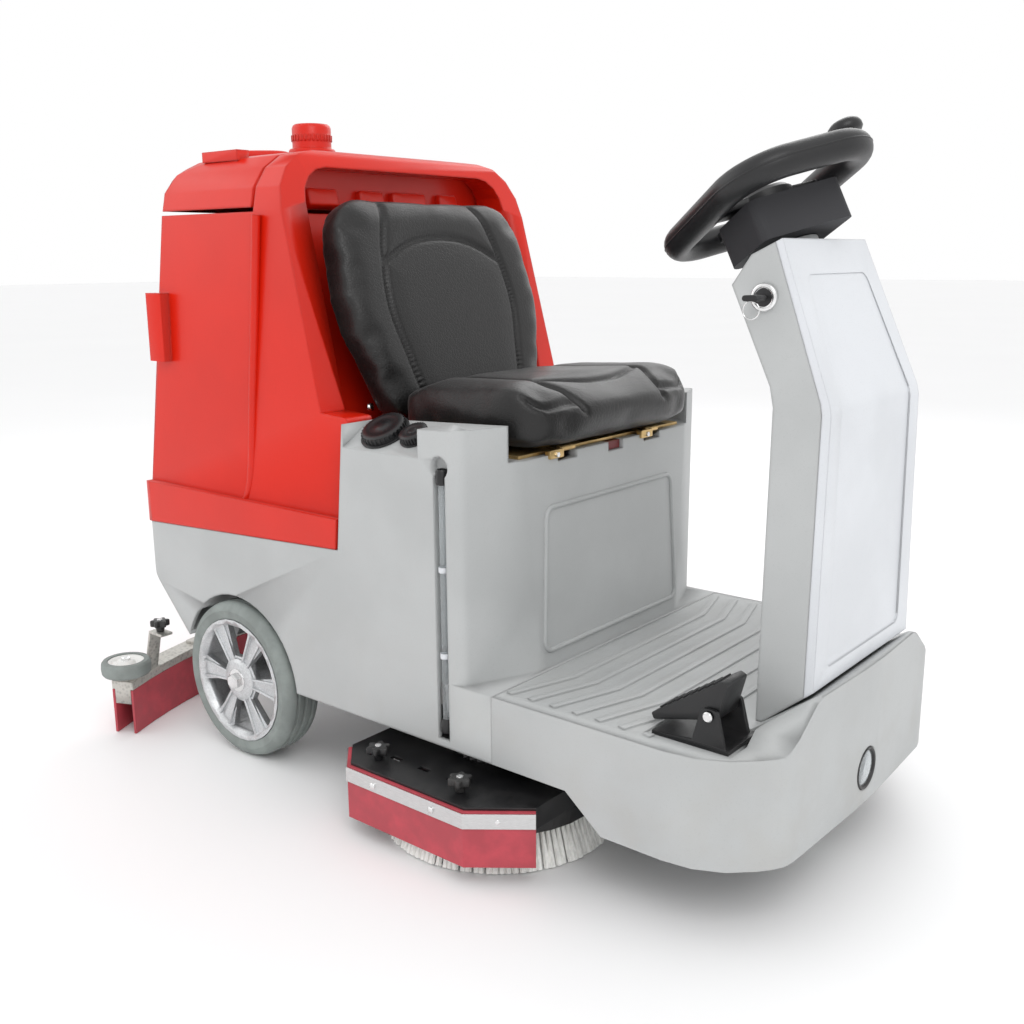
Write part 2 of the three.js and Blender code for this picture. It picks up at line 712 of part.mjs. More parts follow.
add(
  "sight_tube",
  cylinder("z", 6, SIGHT.top - SIGHT.bottom, [SIGHT.x, SIGHT.depth - BODY_HALF_WIDTH - 7, (SIGHT.top + SIGHT.bottom) / 2], 16),
  FINISH.clearPlastic,
);

// ---------------------------------------------------------------- chassis and rear wheels

const HITCH = { x: -215, z: SQUEEGEE_BAR_Z + SQUEEGEE_BAR_HEIGHT + 32, half: 26, pin: 6 };
const RAIL = { y: 170, width: 40, z0: 214, z1: 258 };
const FRAME_REAR_X = -140;
const FRAME_FRONT_X = 1000;

function mainFrame() {
  const rails = SIDES.map(([, side]) =>
    box(FRAME_REAR_X, FRAME_FRONT_X, side * RAIL.y - RAIL.width / 2, side * RAIL.y + RAIL.width / 2, RAIL.z0 + 12, RAIL.z1));
  const crossAt = (x, width) => box(x, x + width, -RAIL.y, RAIL.y, RAIL.z0 + 20, RAIL.z1 - 4);
  const cheeks = SIDES.map(([, side]) =>
    box(-30, 30, side * RAIL.y - 6, side * RAIL.y + 6, REAR_WHEEL_R - 34, RAIL.z0 + 20));
  const hitch = join(
    box(FRAME_REAR_X + 14, FRAME_REAR_X + 28, -60, 60, HITCH.z - 14, RAIL.z0 + 30),
    box(HITCH.x - 14, FRAME_REAR_X + 16, -HITCH.half, HITCH.half, HITCH.z - 14, HITCH.z + 14),
  );
  const headPlate = box(DRIVE_X - 80, FRAME_FRONT_X, -RAIL.y, RAIL.y, RAIL.z1 - 12, RAIL.z1);
  return cut(
    join(rails[0], rails[1], crossAt(FRAME_REAR_X, 40), crossAt(40, 40), crossAt(286, 30), crossAt(780, 30),
      cheeks[0], cheeks[1], hitch, headPlate),
    cylinder("y", AXLE_R + RUN, 500, [0, 0, REAR_WHEEL_R], 24),
    cylinder("y", HITCH.pin + RUN, 500, [HITCH.x, 0, HITCH.z], 16),
    cylinder("z", 24 + RUN, 100, [DRIVE_X, 0, RAIL.z1], 24),
    cylinder("z", SHAFT_R + RUN, 100, [LOWER_SHAFT_X, 0, RAIL.z1], 24),
  );
}

add("main_frame", mainFrame(), FINISH.blackPaint);

const rimInnerY = REAR_WHEEL_OUTER_Y - REAR_WHEEL_WIDTH;
add("rear_axle", cylinder("y", AXLE_R, 2 * (REAR_WHEEL_OUTER_Y - 12), [0, 0, REAR_WHEEL_R], 24), FINISH.steel);

function rearTyre() {
  const half = REAR_WHEEL_WIDTH / 2;
  const shoulder = 12;
  return turned(
    "y",
    [
      [REAR_RIM_R + GAP, -half],
      [REAR_WHEEL_R - shoulder, -half],
      [REAR_WHEEL_R - 3, -half + shoulder * 0.6],
      [REAR_WHEEL_R, -half + shoulder * 1.6],
      [REAR_WHEEL_R, half - shoulder * 1.6],
      [REAR_WHEEL_R - 3, half - shoulder * 0.6],
      [REAR_WHEEL_R - shoulder, half],
      [REAR_RIM_R + GAP, half],
      [REAR_RIM_R + GAP, -half],
    ],
    [0, 0, 0],
    32,
  );
}

function rearRim() {
  const half = REAR_WHEEL_WIDTH / 2;
  const hub = 34;
  const dish = 12; // spoke face set in from the rim's edge
  const spoke = 12;
  const face = -half + dish;
  const disc = turned(
    "y",
    [
      [AXLE_R + RUN, face - 8],
      [hub, face - 8],
      [hub + 4, face],
      [REAR_RIM_R - 12, face],
      [REAR_RIM_R - 8, -half + 2],
      [REAR_RIM_R, -half + 2],
      [REAR_RIM_R, half - 2],
      [REAR_RIM_R - 8, half - 2],
      [REAR_RIM_R - 12, face + spoke],
      [hub, face + spoke],
      [hub, half - 14],
      [AXLE_R + RUN, half - 14],
      [AXLE_R + RUN, face - 8],
    ],
    [0, 0, 0],
    32,
  );
  const windows = Array.from({ length: 6 }, (_, i) =>
    prism("y", [[-15, hub + 10], [15, hub + 10], [31, REAR_RIM_R - 16], [-31, REAR_RIM_R - 16]], -half - 5, half + 5)
      .rotateY((i * Math.PI) / 3));
  return cut(disc, ...windows);
}

for (const [side, sign] of SIDES) {
  const wheel = new THREE.Group();
  wheel.position.set(0, sign * (rimInnerY + REAR_WHEEL_WIDTH / 2), REAR_WHEEL_R);
  if (sign > 0) wheel.rotation.z = Math.PI;
  add(`rear_tyre_${side}`, rearTyre(), FINISH.greyTyre, wheel);
  add(`rear_rim_${side}`, rearRim(), FINISH.alloy, wheel);
  machine.add(wheel);
}

function battery() {
  const top = batteryFloorZ + GAP + BATTERY_HEIGHT;
  const cells = box(BATTERY_REAR_X, BATTERY_REAR_X + BATTERY_LENGTH, -BATTERY_HALF_WIDTH, BATTERY_HALF_WIDTH,
    batteryFloorZ + GAP, top);
  const split = box(BATTERY_REAR_X + BATTERY_LENGTH / 2 - 3, BATTERY_REAR_X + BATTERY_LENGTH / 2 + 3, -REACH, REACH,
    batteryFloorZ + 30, top + 5);
  const terminals = [-1, 1].flatMap((side) =>
    [0.25, 0.75].map((share) =>
      cylinder("z", 10, 24, [BATTERY_REAR_X + BATTERY_LENGTH * share, side * (BATTERY_HALF_WIDTH - 30), top + 8], 16)));
  return join(cut(cells, split), ...terminals);
}

add("battery_pack", battery(), FINISH.blackPlastic);
add(
  "suction_motor",
  turned("y", [[0, -85], [44, -85], [58, -70], [58, 40], [40, 48], [40, 85], [0, 85]], [96, 0, 168], 24),
  FINISH.steel,
);

// ---------------------------------------------------------------- drive wheel, fork and steering train

const forkHalf = DRIVE_WHEEL_WIDTH / 2 + 10;
const driveMotorR = 66;
add(
  "drive_wheel",
  turned(
    "y",
    [
      [0, -forkHalf - 4],
      [10, -forkHalf - 4],
      [10, 2 - forkHalf],
      [driveMotorR - 12, 2 - forkHalf],
      [driveMotorR, -DRIVE_WHEEL_WIDTH / 2],
      [DRIVE_WHEEL_R - 8, -DRIVE_WHEEL_WIDTH / 2],
      [DRIVE_WHEEL_R, 10 - DRIVE_WHEEL_WIDTH / 2],
      [DRIVE_WHEEL_R, DRIVE_WHEEL_WIDTH / 2 - 10],
      [DRIVE_WHEEL_R - 8, DRIVE_WHEEL_WIDTH / 2],
      [driveMotorR, DRIVE_WHEEL_WIDTH / 2],
      [driveMotorR - 12, forkHalf - 2],
      [10, forkHalf - 2],
      [10, forkHalf + 4],
      [0, forkHalf + 4],
    ],
    [DRIVE_X, 0, DRIVE_WHEEL_R],
    32,
  ),
  FINISH.greyTyre,
);

function fork() {
  const crownZ = 2 * DRIVE_WHEEL_R + 5;
  const legs = [-1, 1].map((side) =>
    cut(
      box(DRIVE_X - 30, DRIVE_X + 30, side > 0 ? forkHalf : -forkHalf - FORK_PLATE,
        side > 0 ? forkHalf + FORK_PLATE : -forkHalf, DRIVE_WHEEL_R - 26, crownZ + FORK_PLATE),
      cylinder("y", 10 + RUN, 300, [DRIVE_X, 0, DRIVE_WHEEL_R], 24),
    ));
  const crown = cylinder("z", forkHalf + FORK_PLATE + 6, FORK_PLATE, [DRIVE_X, 0, crownZ + FORK_PLATE / 2], 40);
  const stem = cylinder("z", 24, RAIL.z1 - crownZ - 2, [DRIVE_X, 0, (crownZ + RAIL.z1 + 2) / 2], 24);
  const sprocket = cylinder("z", FORK_SPROCKET_R, SPROCKET_THICKNESS, [DRIVE_X, 0, SPROCKET_Z + SPROCKET_THICKNESS / 2], 48);
  return join(legs[0], legs[1], crown, stem, sprocket);
}

add("steering_fork", fork(), FINISH.blackPaint);

// The loop of roller chain that joins the small sprocket to the fork's sprocket.
function chainOutline(extra) {
  const big = FORK_SPROCKET_R + extra;
  const small = SHAFT_SPROCKET_R + extra;
  const span = LOWER_SHAFT_X - DRIVE_X;
  const lean = Math.acos((big - small) / span);
  const arc = (x, radius, from, to, steps) =>
    Array.from({ length: steps + 1 }, (_, i) => {
      const angle = from + ((to - from) * i) / steps;
      return [x + radius * Math.cos(angle), radius * Math.sin(angle)];
    });
  return [...arc(DRIVE_X, big, lean, 2 * Math.PI - lean, 24), ...arc(LOWER_SHAFT_X, small, -lean, lean, 12)];
}

add(
  "steering_chain",
  prism("z", chainOutline(0.6 + CHAIN_THICKNESS), SPROCKET_Z, SPROCKET_Z + SPROCKET_THICKNESS, [chainOutline(0.6)]),
  FINISH.steel,
);

const tilt = rad(STEERING_TILT);
const jointDrop = (LOWER_SHAFT_X - WHEEL_X) / Math.sin(tilt);
const jointZ = WHEEL_Z - jointDrop * Math.cos(tilt);
add(
  "lower_shaft",
  join(
    cylinder("z", SHAFT_R, jointZ - 34 - SPROCKET_Z, [LOWER_SHAFT_X, 0, (jointZ - 34 + SPROCKET_Z) / 2], 16),
    cylinder("z", SHAFT_SPROCKET_R, SPROCKET_THICKNESS, [LOWER_SHAFT_X, 0, SPROCKET_Z + SPROCKET_THICKNESS / 2], 24),
    cylinder("z", 15, 22, [LOWER_SHAFT_X, 0, jointZ - 34 - 8], 20),
  ),
  FINISH.steel,
);

// The steering wheel's own frame: local z is the steering axis and local x runs up the wheel's slope.
const helm = new THREE.Group();
helm.position.set(WHEEL_X, 0, WHEEL_Z);
helm.rotation.y = -tilt;
machine.add(helm);
const head = new THREE.Group();
head.rotation.z = rad(STEERING_TURN);
helm.add(head);

function wheelRim() {
  const long = WHEEL_LENGTH / 2 - GRIP_R;
  const wide = WHEEL_WIDTH / 2 - GRIP_R;
  const corner = WHEEL_CORNER_R - GRIP_R;
  const outline = rounded([[-long, -wide, corner], [long, -wide, corner], [long, wide, corner], [-long, wide, corner]]);
  const path = new THREE.CatmullRomCurve3(outline.map(({ x, y }) => new THREE.Vector3(x, y, 0)), true);
  const section = new THREE.Shape(
    Array.from({ length: 8 }, (_, i) => {
      const angle = (2 * Math.PI * i) / 8;
      return new THREE.Vector2(GRIP_R * Math.cos(angle), GRIP_R * Math.sin(angle));
    }),
  );
  return new THREE.ExtrudeGeometry(section, { steps: 44, extrudePath: path, bevelEnabled: false });
}

function steeringWheel() {
  const wide = WHEEL_WIDTH / 2 - GRIP_R;
  const long = WHEEL_LENGTH / 2 - GRIP_R;
  const hub = cylinder("z", 44, 26, [0, 0, -5], 24);
  const cross = box(-17, 17, -wide, wide, -10, 4);
  const rear = box(-long, 0, -17, 17, -10, 4);
  return join(wheelRim(), hub, cross, rear);
}

add("steering_wheel", steeringWheel(), FINISH.blackPlastic, head);
add(
  "steering_shaft",
  join(
    cylinder("z", SHAFT_R, jointDrop - 19 - 34, [0, 0, -19 - (jointDrop - 19 - 34) / 2], 16),
    cylinder("z", 15, 22, [0, 0, -jointDrop + 34 + 8], 20),
  ),
  FINISH.steel,
  helm,
);
const KNOB = { x: WHEEL_LENGTH / 2 - 80, y: WHEEL_WIDTH / 2 - GRIP_R, radius: 25, height: 34 };
add(
  "spinner_knob",
  turned(
    "z",
    [[0, 0], [9, 0], [9, 8], [KNOB.radius, 16], [KNOB.radius, 24], [KNOB.radius - 8, KNOB.height - 3], [0, KNOB.height]],
    [KNOB.x, KNOB.y, GRIP_R + 1],
    32,
  ),
  FINISH.blackPlastic,
  head,
);

function consoleHousing() {
  const outline = [
    [CONSOLE_FORWARD - CONSOLE_LENGTH / 2, -CONSOLE_WIDTH / 2, 26],
    [CONSOLE_FORWARD + CONSOLE_LENGTH / 2, -CONSOLE_WIDTH / 2, 14],
    [CONSOLE_FORWARD + CONSOLE_LENGTH / 2, CONSOLE_WIDTH / 2, 14],
    [CONSOLE_FORWARD - CONSOLE_LENGTH / 2, CONSOLE_WIDTH / 2, 26],
  ];
  const top = -CONSOLE_DROP;
  const bottom = top - CONSOLE_HEIGHT;
  return cut(
    prism("z", outline, bottom, top),
    prism("z", inset(outline, CONSOLE_WALL), bottom + CONSOLE_WALL, top - CONSOLE_WALL),
    cylinder("z", SHAFT_R + 5, 300, [0, 0, top], 24),
    box(SWITCH.x - SWITCH.length / 2, SWITCH.x + SWITCH.length / 2, SWITCH.y - SWITCH.width / 2,
      SWITCH.y + SWITCH.width / 2, top - 20, top + 5),
  );
}

const SWITCH = { x: CONSOLE_FORWARD + 34, y: -40, length: 30, width: 16 };
add("console_housing", consoleHousing(), FINISH.blackPlastic, head);
add(
  "direction_switch",
  prism(
    "y",
    [
      [SWITCH.x - SWITCH.length / 2 + 1, -CONSOLE_DROP - 3],
      [SWITCH.x, -CONSOLE_DROP - 9],
      [SWITCH.x + SWITCH.length / 2 - 1, -CONSOLE_DROP - 3],
      [SWITCH.x + SWITCH.length / 2 - 1.5, -CONSOLE_DROP + 3],
      [SWITCH.x, -CONSOLE_DROP + 0.5],
      [SWITCH.x - SWITCH.length / 2 + 1.5, -CONSOLE_DROP + 3],
    ],
    SWITCH.y - SWITCH.width / 2 + 1,
    SWITCH.y + SWITCH.width / 2 - 1,
  ),
  FINISH.blackPlastic,
  head,
);

// ---------------------------------------------------------------- column

// The console's underside, as the height of its plane over a place x.
const consoleUnderZ = (x) =>
  WHEEL_Z - (CONSOLE_DROP + CONSOLE_HEIGHT + NECK_HEIGHT) / Math.cos(tilt) + (x - WHEEL_X) * Math.tan(tilt);
const bendX = COLUMN_FRONT_X - 3;
const topFrontX = bendX - (consoleUnderZ(970) - COLUMN_BEND_Z) * Math.tan(rad(22));
const topRearX = 896;
const columnSide = [
  [topFrontX, consoleUnderZ(topFrontX) - 2],
  [topRearX + 26, consoleUnderZ(topRearX + 26) - 2],
  [topRearX, consoleUnderZ(topRearX) - 30],
  [COLUMN_REAR_X - 3, COLUMN_BEND_Z + 12, 60],
  [COLUMN_REAR_X, FOOT_Z + GAP],
  [NOSE_REAR_X, FOOT_Z + GAP],
  [COLUMN_FRONT_X, NOSE_Z + GAP + 2],
  [bendX, COLUMN_BEND_Z, 40],
];
const columnFace = [
  [-COLUMN_FOOT_HALF, 200],
  [COLUMN_FOOT_HALF, 200],
  [COLUMN_FOOT_HALF - 2, NOSE_Z],
  [COLUMN_BEND_HALF, COLUMN_BEND_Z, 200],
  [COLUMN_TOP_HALF, 1000],
  [-COLUMN_TOP_HALF, 1000],
  [-COLUMN_BEND_HALF, COLUMN_BEND_Z, 200],
  [-COLUMN_FOOT_HALF + 2, NOSE_Z],
];

const coverBack = (shift) =>
  prism(
    "y",
    [
      [topFrontX - COVER_THICKNESS - shift, 1010],
      [topFrontX - COVER_THICKNESS - shift, consoleUnderZ(topFrontX) + 2],
      [bendX - COVER_THICKNESS - shift, COLUMN_BEND_Z, 40],
      [COLUMN_FRONT_X - COVER_THICKNESS - shift, 200],
      [1300, 200],
      [1300, 1010],
    ],
    -400,
    400,
  );

function columnHousing() {
  const outer = common(prism("y", columnSide, -REACH, REACH), prism("x", columnFace, 600, 1300));
  const insideSide = [
    [topFrontX - COVER_THICKNESS + 20, 1100],
    [topRearX + 14, 1100],
    [topRearX + 14, consoleUnderZ(topRearX) - 24],
    [COLUMN_REAR_X - 3 + COLUMN_WALL, COLUMN_BEND_Z + 12, 50],
    [COLUMN_REAR_X + COLUMN_WALL, 200],
    [1200, 200],
    [1200, 1100],
  ];
  const inside = common(prism("y", insideSide, -REACH, REACH), prism("x", inset(columnFace, COLUMN_WALL), 600, 1300));
  const keyHole = cylinder("y", KEY.radius + 1, 60, [KEY.x, -COLUMN_TOP_HALF, KEY.z], 24);
  return cut(join(cut(outer, coverBack(GAP), inside), neck(NECK_R, NECK_HEIGHT + 20, RUN)), neck(NECK_R - 10, 200, 0), keyHole);
}

// A round collar on the steering axis, whose top stands a clearance below the console.
function neck(radius, height, clearance) {
  const top = -CONSOLE_DROP - CONSOLE_HEIGHT - clearance;
  const collar = new THREE.CylinderGeometry(radius, radius, height, 28);
  collar.rotateX(Math.PI / 2);
  collar.translate(0, 0, top - height / 2 + (clearance ? 0 : 20));
  collar.rotateY(-tilt);
  collar.translate(WHEEL_X, 0, WHEEL_Z);
  return collar;
}

function columnCover() {
  const outer = common(prism("y", columnSide, -REACH, REACH), prism("x", columnFace, 600, 1300));
  const panel = prism(
    "x",
    [
      [-COLUMN_FOOT_HALF + 42, NOSE_Z + 26, 14],
      [COLUMN_FOOT_HALF - 42, NOSE_Z + 26, 14],
      [COLUMN_BEND_HALF - 34, COLUMN_BEND_Z],
      [COLUMN_TOP_HALF - 34, 898, 16],
      [-COLUMN_TOP_HALF + 34, 898, 16],
      [-COLUMN_BEND_HALF + 34, COLUMN_BEND_Z],
    ],
    600,
    1300,
  );
  const skin = common(panel, cut(outer, coverBack(3 - COVER_THICKNESS).translate(0, 0, 0)));
  const shallow = cut(panel, skin);
  const sunk = common(shallow, coverBack(3 - COVER_THICKNESS));
  return cut(common(outer, coverBack(0)), sunk);
}

const KEY = { x: 948, z: 868, radius: 14 };
add("column_housing", columnHousing(), FINISH.greyMoulding);
add("column_cover", columnCover(), FINISH.whiteMoulding);

const keySideY = -(COLUMN_TOP_HALF + ((COLUMN_BEND_HALF - COLUMN_TOP_HALF) * (1000 - KEY.z)) / (1000 - COLUMN_BEND_Z));
// The key and the lock's core turn as one.
add(
  "key",
  join(
    turned("y", [[0, -6], [17, -6], [17, -3], [KEY.radius, -3], [KEY.radius, 22], [0, 22]], [KEY.x, keySideY, KEY.z], 24),
    box(KEY.x - 4, KEY.x + 4, keySideY - 20, keySideY - 3, KEY.z - 1.2, KEY.z + 1.2),
    prism("y", [[KEY.x - 11, KEY.z - 4, 4], [KEY.x + 11, KEY.z - 4, 4], [KEY.x + 11, KEY.z + 4, 4], [KEY.x - 11, KEY.z + 4, 4]],
      keySideY - 46, keySideY - 18),
  ),
  FINISH.blackPlastic,
);

add(
  "headlight",
  turned(
    "x",
    [[0, -LAMP.depth], [LAMP.radius - 2, -LAMP.depth], [LAMP.radius, -6], [LAMP.radius, 0], [LAMP.radius - 8, 4], [0, 6]],
    [BODY_FRONT_X - 6, LAMP.y, LAMP.z],
    32,
  ),
  FINISH.clearPlastic,
);

// ---------------------------------------------------------------- pedal

const PEDAL_HINGE = { x: PEDAL.front - 34, z: FOOT_Z + 44 };
add(
  "pedal_base",
  join(
    box(PEDAL.rear, PEDAL.front, PEDAL.y - 42, PEDAL.y + 42, FOOT_Z - 3 + GAP, FOOT_Z + 3),
    ...[-1, 1].map((side) =>
      prism(
        "y",
        [
          [PEDAL_HINGE.x - 26, FOOT_Z],
          [PEDAL_HINGE.x + 26, FOOT_Z],
          [PEDAL_HINGE.x + 12, PEDAL_HINGE.z + 10, 8],
          [PEDAL_HINGE.x - 12, PEDAL_HINGE.z + 10, 8],
        ],
        PEDAL.y + side * 34 - 3,
        PEDAL.y + side * 34 + 3,
      )),
  ),
  FINISH.blackPlastic,
);

function pedal() {
  const arm = prism(
    "y",
    [
      [PEDAL_HINGE.x + 8, PEDAL_HINGE.z - 8, 5],
      [PEDAL_HINGE.x + 22, PEDAL_HINGE.z + 46, 4],
      [PEDAL_HINGE.x + 12, PEDAL_HINGE.z + 50, 4],
      [PEDAL_HINGE.x - 96, FOOT_Z + 22, 3],
      [PEDAL_HINGE.x - 92, FOOT_Z + 13, 3],
      [PEDAL_HINGE.x - 8, PEDAL_HINGE.z - 10, 5],
    ],
    PEDAL.y - 28,
    PEDAL.y + 28,
  );
  const pin = cylinder("y", 5, 78, [PEDAL_HINGE.x, PEDAL.y, PEDAL_HINGE.z], 16);
  return join(arm, pin);
}

const pedalBearing = [-1, 1].map((side) =>
  cylinder("y", 5 + 0.6, 12, [PEDAL_HINGE.x, PEDAL.y + side * 34, PEDAL_HINGE.z], 16));
const pedalBase = machine.getObjectByName("pedal_base");
pedalBase.geometry = cut(pedalBase.geometry, ...pedalBearing);
add("pedal", pedal(), FINISH.blackPlastic);

// ---------------------------------------------------------------- seat

add(
  "seat_plate",
  join(
    box(SEAT_REAR_X + 22, SEAT_HINGE_X - 10, -234, 234, SEAT_WELL_Z + GAP, SEAT_WELL_Z + GAP + SEAT_PLATE),
    ...[-1, 1].flatMap((side) => [
      box(SEAT_REAR_X + 30, SEAT_HINGE_X - 40, side * 130 - 16, side * 130 + 16, SEAT_WELL_Z + 2, SEAT_BOTTOM_Z - GAP),
      cylinder("y", 5, 40, [SEAT_HINGE_X, side * HINGE_Y, SEAT_HINGE_Z], 16),
      box(SEAT_HINGE_X - 24, SEAT_HINGE_X, side * HINGE_Y - 20, side * HINGE_Y + 20, SEAT_HINGE_Z - 4, SEAT_HINGE_Z + 1),
    ]),
  ),
  FINISH.brass,
);

const cushionSide = [
  [SEAT_REAR_X, SEAT_BOTTOM_Z, 10],
  [SEAT_FRONT_X - 14, SEAT_BOTTOM_Z, 14],
  [SEAT_FRONT_X, SEAT_BOTTOM_Z + 40, 26],
  [SEAT_FRONT_X - 60, SEAT_BOTTOM_Z + SEAT_HEIGHT, 40],
  [SEAT_REAR_X + 70, SEAT_BOTTOM_Z + SEAT_HEIGHT - 10, 30],
  [SEAT_REAR_X, SEAT_BOTTOM_Z + SEAT_HEIGHT - 30, 20],
];
const cushionPlan = [
  [SEAT_REAR_X, -SEAT_HALF_WIDTH + 30, 50],
  [SEAT_FRONT_X - 30, -SEAT_HALF_WIDTH, 70],
  [SEAT_FRONT_X, -90, 100],
  [SEAT_FRONT_X, 90, 100],
  [SEAT_FRONT_X - 30, SEAT_HALF_WIDTH, 70],
  [SEAT_REAR_X, SEAT_HALF_WIDTH - 30, 50],
];
add("seat_cushion", common(prism("y", cushionSide, -300, 300), prism("z", cushionPlan, 600, 800)), FINISH.vinyl);

const back = new THREE.Group();
back.position.set(SEAT_REAR_X - 4, 0, SEAT_BOTTOM_Z + 12);
back.rotation.y = -rad(SEAT_BACK_LEAN);
const backFace = [
  [-SEAT_HALF_WIDTH + 50, 0, 40],
  [SEAT_HALF_WIDTH - 50, 0, 40],
  [SEAT_HALF_WIDTH + 14, 190, 140],
  [SEAT_HALF_WIDTH - 10, SEAT_BACK_HEIGHT, 92],
  [-SEAT_HALF_WIDTH + 10, SEAT_BACK_HEIGHT, 92],
  [-SEAT_HALF_WIDTH - 14, 190, 140],
];
const backEdgeR = SEAT_BACK_THICKNESS * 0.42;
const backSide = [
  [-SEAT_BACK_THICKNESS, 0, 20],
  [-2, 0, 10],
  [-2, SEAT_BACK_HEIGHT, backEdgeR],
  [-SEAT_BACK_THICKNESS, SEAT_BACK_HEIGHT, backEdgeR],
];
add("seat_back", common(prism("x", backFace, -200, 200), prism("y", backSide, -300, 300)), FINISH.vinyl, back);
machine.add(back);

add(
  "charging_socket",
  box(seatBaseTopX - 29, seatBaseTopX - 4, SOCKET_Y - 20, SOCKET_Y + 20, SEAT_WELL_Z - 15, SEAT_WELL_Z - 1),
  FINISH.redPlastic,
);

// ---------------------------------------------------------------- brush deck

function deckOutline(grow) {
  const half = DECK_HALF_WIDTH + grow;
  return [
    [DECK_REAR_X - grow, -half + DECK_REAR_CHAMFER],
    [DECK_REAR_X + DECK_REAR_CHAMFER, -half],
    [DECK_FRONT_X - DECK_FRONT_CHAMFER, -half],
    [DECK_FRONT_X + grow, -half + DECK_FRONT_CHAMFER * 0.78],
    [DECK_FRONT_X + grow, half - DECK_FRONT_CHAMFER * 0.78],
    [DECK_FRONT_X - DECK_FRONT_CHAMFER, half],
    [DECK_REAR_X + DECK_REAR_CHAMFER, half],
    [DECK_REAR_X - grow, half - DECK_REAR_CHAMFER],
  ];
}

function deckPlate() {
  const pan = cut(
    prism("z", deckOutline(0), DECK_LIP_Z, DECK_TOP_Z),
    prism("z", deckOutline(-DECK_THICKNESS), 0, DECK_TOP_Z - DECK_THICKNESS),
    ...SIDES.map(([, side]) => cylinder("z", 26, 60, [BRUSH_X, side * BRUSH_Y, DECK_TOP_Z], 24)),
    ...SIDES.flatMap(([, side]) => [0, 1, 2].map((i) =>
      box(430 + 62 * i, 452 + 62 * i, side * 372 - 5, side * 372 + 5, 100, 160))),
  );
  const lift = SIDES.map(([, side]) => box(DECK_FRONT_X - 96, DECK_FRONT_X - 20, side * 70 - 4, side * 70 + 4, DECK_TOP_Z - 1, 196));
  return join(pan, ...lift);
}

add("deck_plate", deckPlate(), FINISH.blackPaint);
const ACTUATOR_Z = 205;
add(
  "deck_actuator",
  join(
    cylinder("x", 16, 72, [762, 0, ACTUATOR_Z]),
    cylinder("x", 7, 40, [712, 0, ACTUATOR_Z], 16),
    cylinder("x", 22, 24, [790, 0, ACTUATOR_Z]),
  ),
  FINISH.steel,
);

const KNOB_X = [420, 598];
const starKnob = (radius) =>
  join(
    cylinder("z", 8, 22, [0, 0, 11], 8),
    ...[0, 1, 2].map((i) =>
      prism("z", [[-radius, -6], [radius, -6], [radius, 6], [-radius, 6]], 12, 24).rotateZ((i * Math.PI) / 3)),
    cylinder("z", 13, 18, [0, 0, 17], 8),
  );

let knobNumber = 0;
for (const [side, sign] of SIDES) {
  const place = (geometry) => (sign < 0 ? geometry : mirrored(geometry));
  add(
    `brush_motor_${side}`,
    turned(
      "z",
      [[0, 0], [BRUSH_MOTOR_R + 14, 0], [BRUSH_MOTOR_R + 14, 8], [BRUSH_MOTOR_R, 14], [BRUSH_MOTOR_R, BRUSH_MOTOR_HEIGHT - 8],
        [BRUSH_MOTOR_R - 10, BRUSH_MOTOR_HEIGHT], [0, BRUSH_MOTOR_HEIGHT]],
      [BRUSH_X, sign * BRUSH_Y, DECK_TOP_Z + GAP],
      32,
    ),
    FINISH.blackPaint,
  );
  add(
    `brush_block_${side}`,
    turned(
      "z",
      [
        [0, BRUSH_BLOCK_HEIGHT - 6],
        [BRUSH_HOLE_R, BRUSH_BLOCK_HEIGHT - 6],
        [BRUSH_HOLE_R, 0],
        [BRUSH_ROOT_R, 0],
        [BRUSH_ROOT_R, BRUSH_BLOCK_HEIGHT],
        [40, BRUSH_BLOCK_HEIGHT],
        [22, DECK_TOP_Z - BRUSH_BLOCK_Z - RUN],
        [0, DECK_TOP_Z - BRUSH_BLOCK_Z - RUN],
      ],
      [BRUSH_X, sign * BRUSH_Y, BRUSH_BLOCK_Z],
      32,
    ),
    FINISH.blackPlastic,
  );
  add(
    `brush_bristles_${side}`,
    turned(
      "z",
      [[BRUSH_HOLE_R + 4, 0], [BRUSH_TIP_R, 0], [BRUSH_ROOT_R - 4, BRUSH_BLOCK_Z - GAP], [BRUSH_HOLE_R + 14, BRUSH_BLOCK_Z - GAP],
        [BRUSH_HOLE_R + 4, 0]],
      [BRUSH_X, sign * BRUSH_Y, 0],
      36,
    ),
    FINISH.bristle,
  );
  const edge = deckOutline(GAP).slice(0, 4);
  add(`apron_${side}`, place(prism("z", strip(edge, -APRON_THICKNESS, 0), APRON_BOTTOM_Z, DECK_TOP_Z - 4)), FINISH.redRubber);
  add(
    `apron_strip_${side}`,
    place(prism("z", strip(edge, -APRON_THICKNESS - GAP - STRIP_THICKNESS, -APRON_THICKNESS - GAP),
      DECK_TOP_Z - 6 - STRIP_HEIGHT, DECK_TOP_Z - 6)),
    FINISH.steel,
  );
  for (const x of KNOB_X) {
    knobNumber += 1;
    const knob = add(`deck_knob_${knobNumber}`, starKnob(19), FINISH.blackPlastic);
    knob.position.set(x, sign * (DECK_HALF_WIDTH - 36), DECK_TOP_Z + GAP);
  }
}

// ---------------------------------------------------------------- squeegee

// The bar bows back from its two ends, so that the water runs to the middle.
const squeegeeX = (y) =>
  SQUEEGEE_MID_X + (SQUEEGEE_END_X - SQUEEGEE_MID_X) * (y / SQUEEGEE_HALF) ** 2;

function squeegeeLine(count = 16) {
  return Array.from({ length: count + 1 }, (_, i) => {
    const y = -SQUEEGEE_HALF + (2 * SQUEEGEE_HALF * i) / count;
    return [squeegeeX(y), y];
  });
}

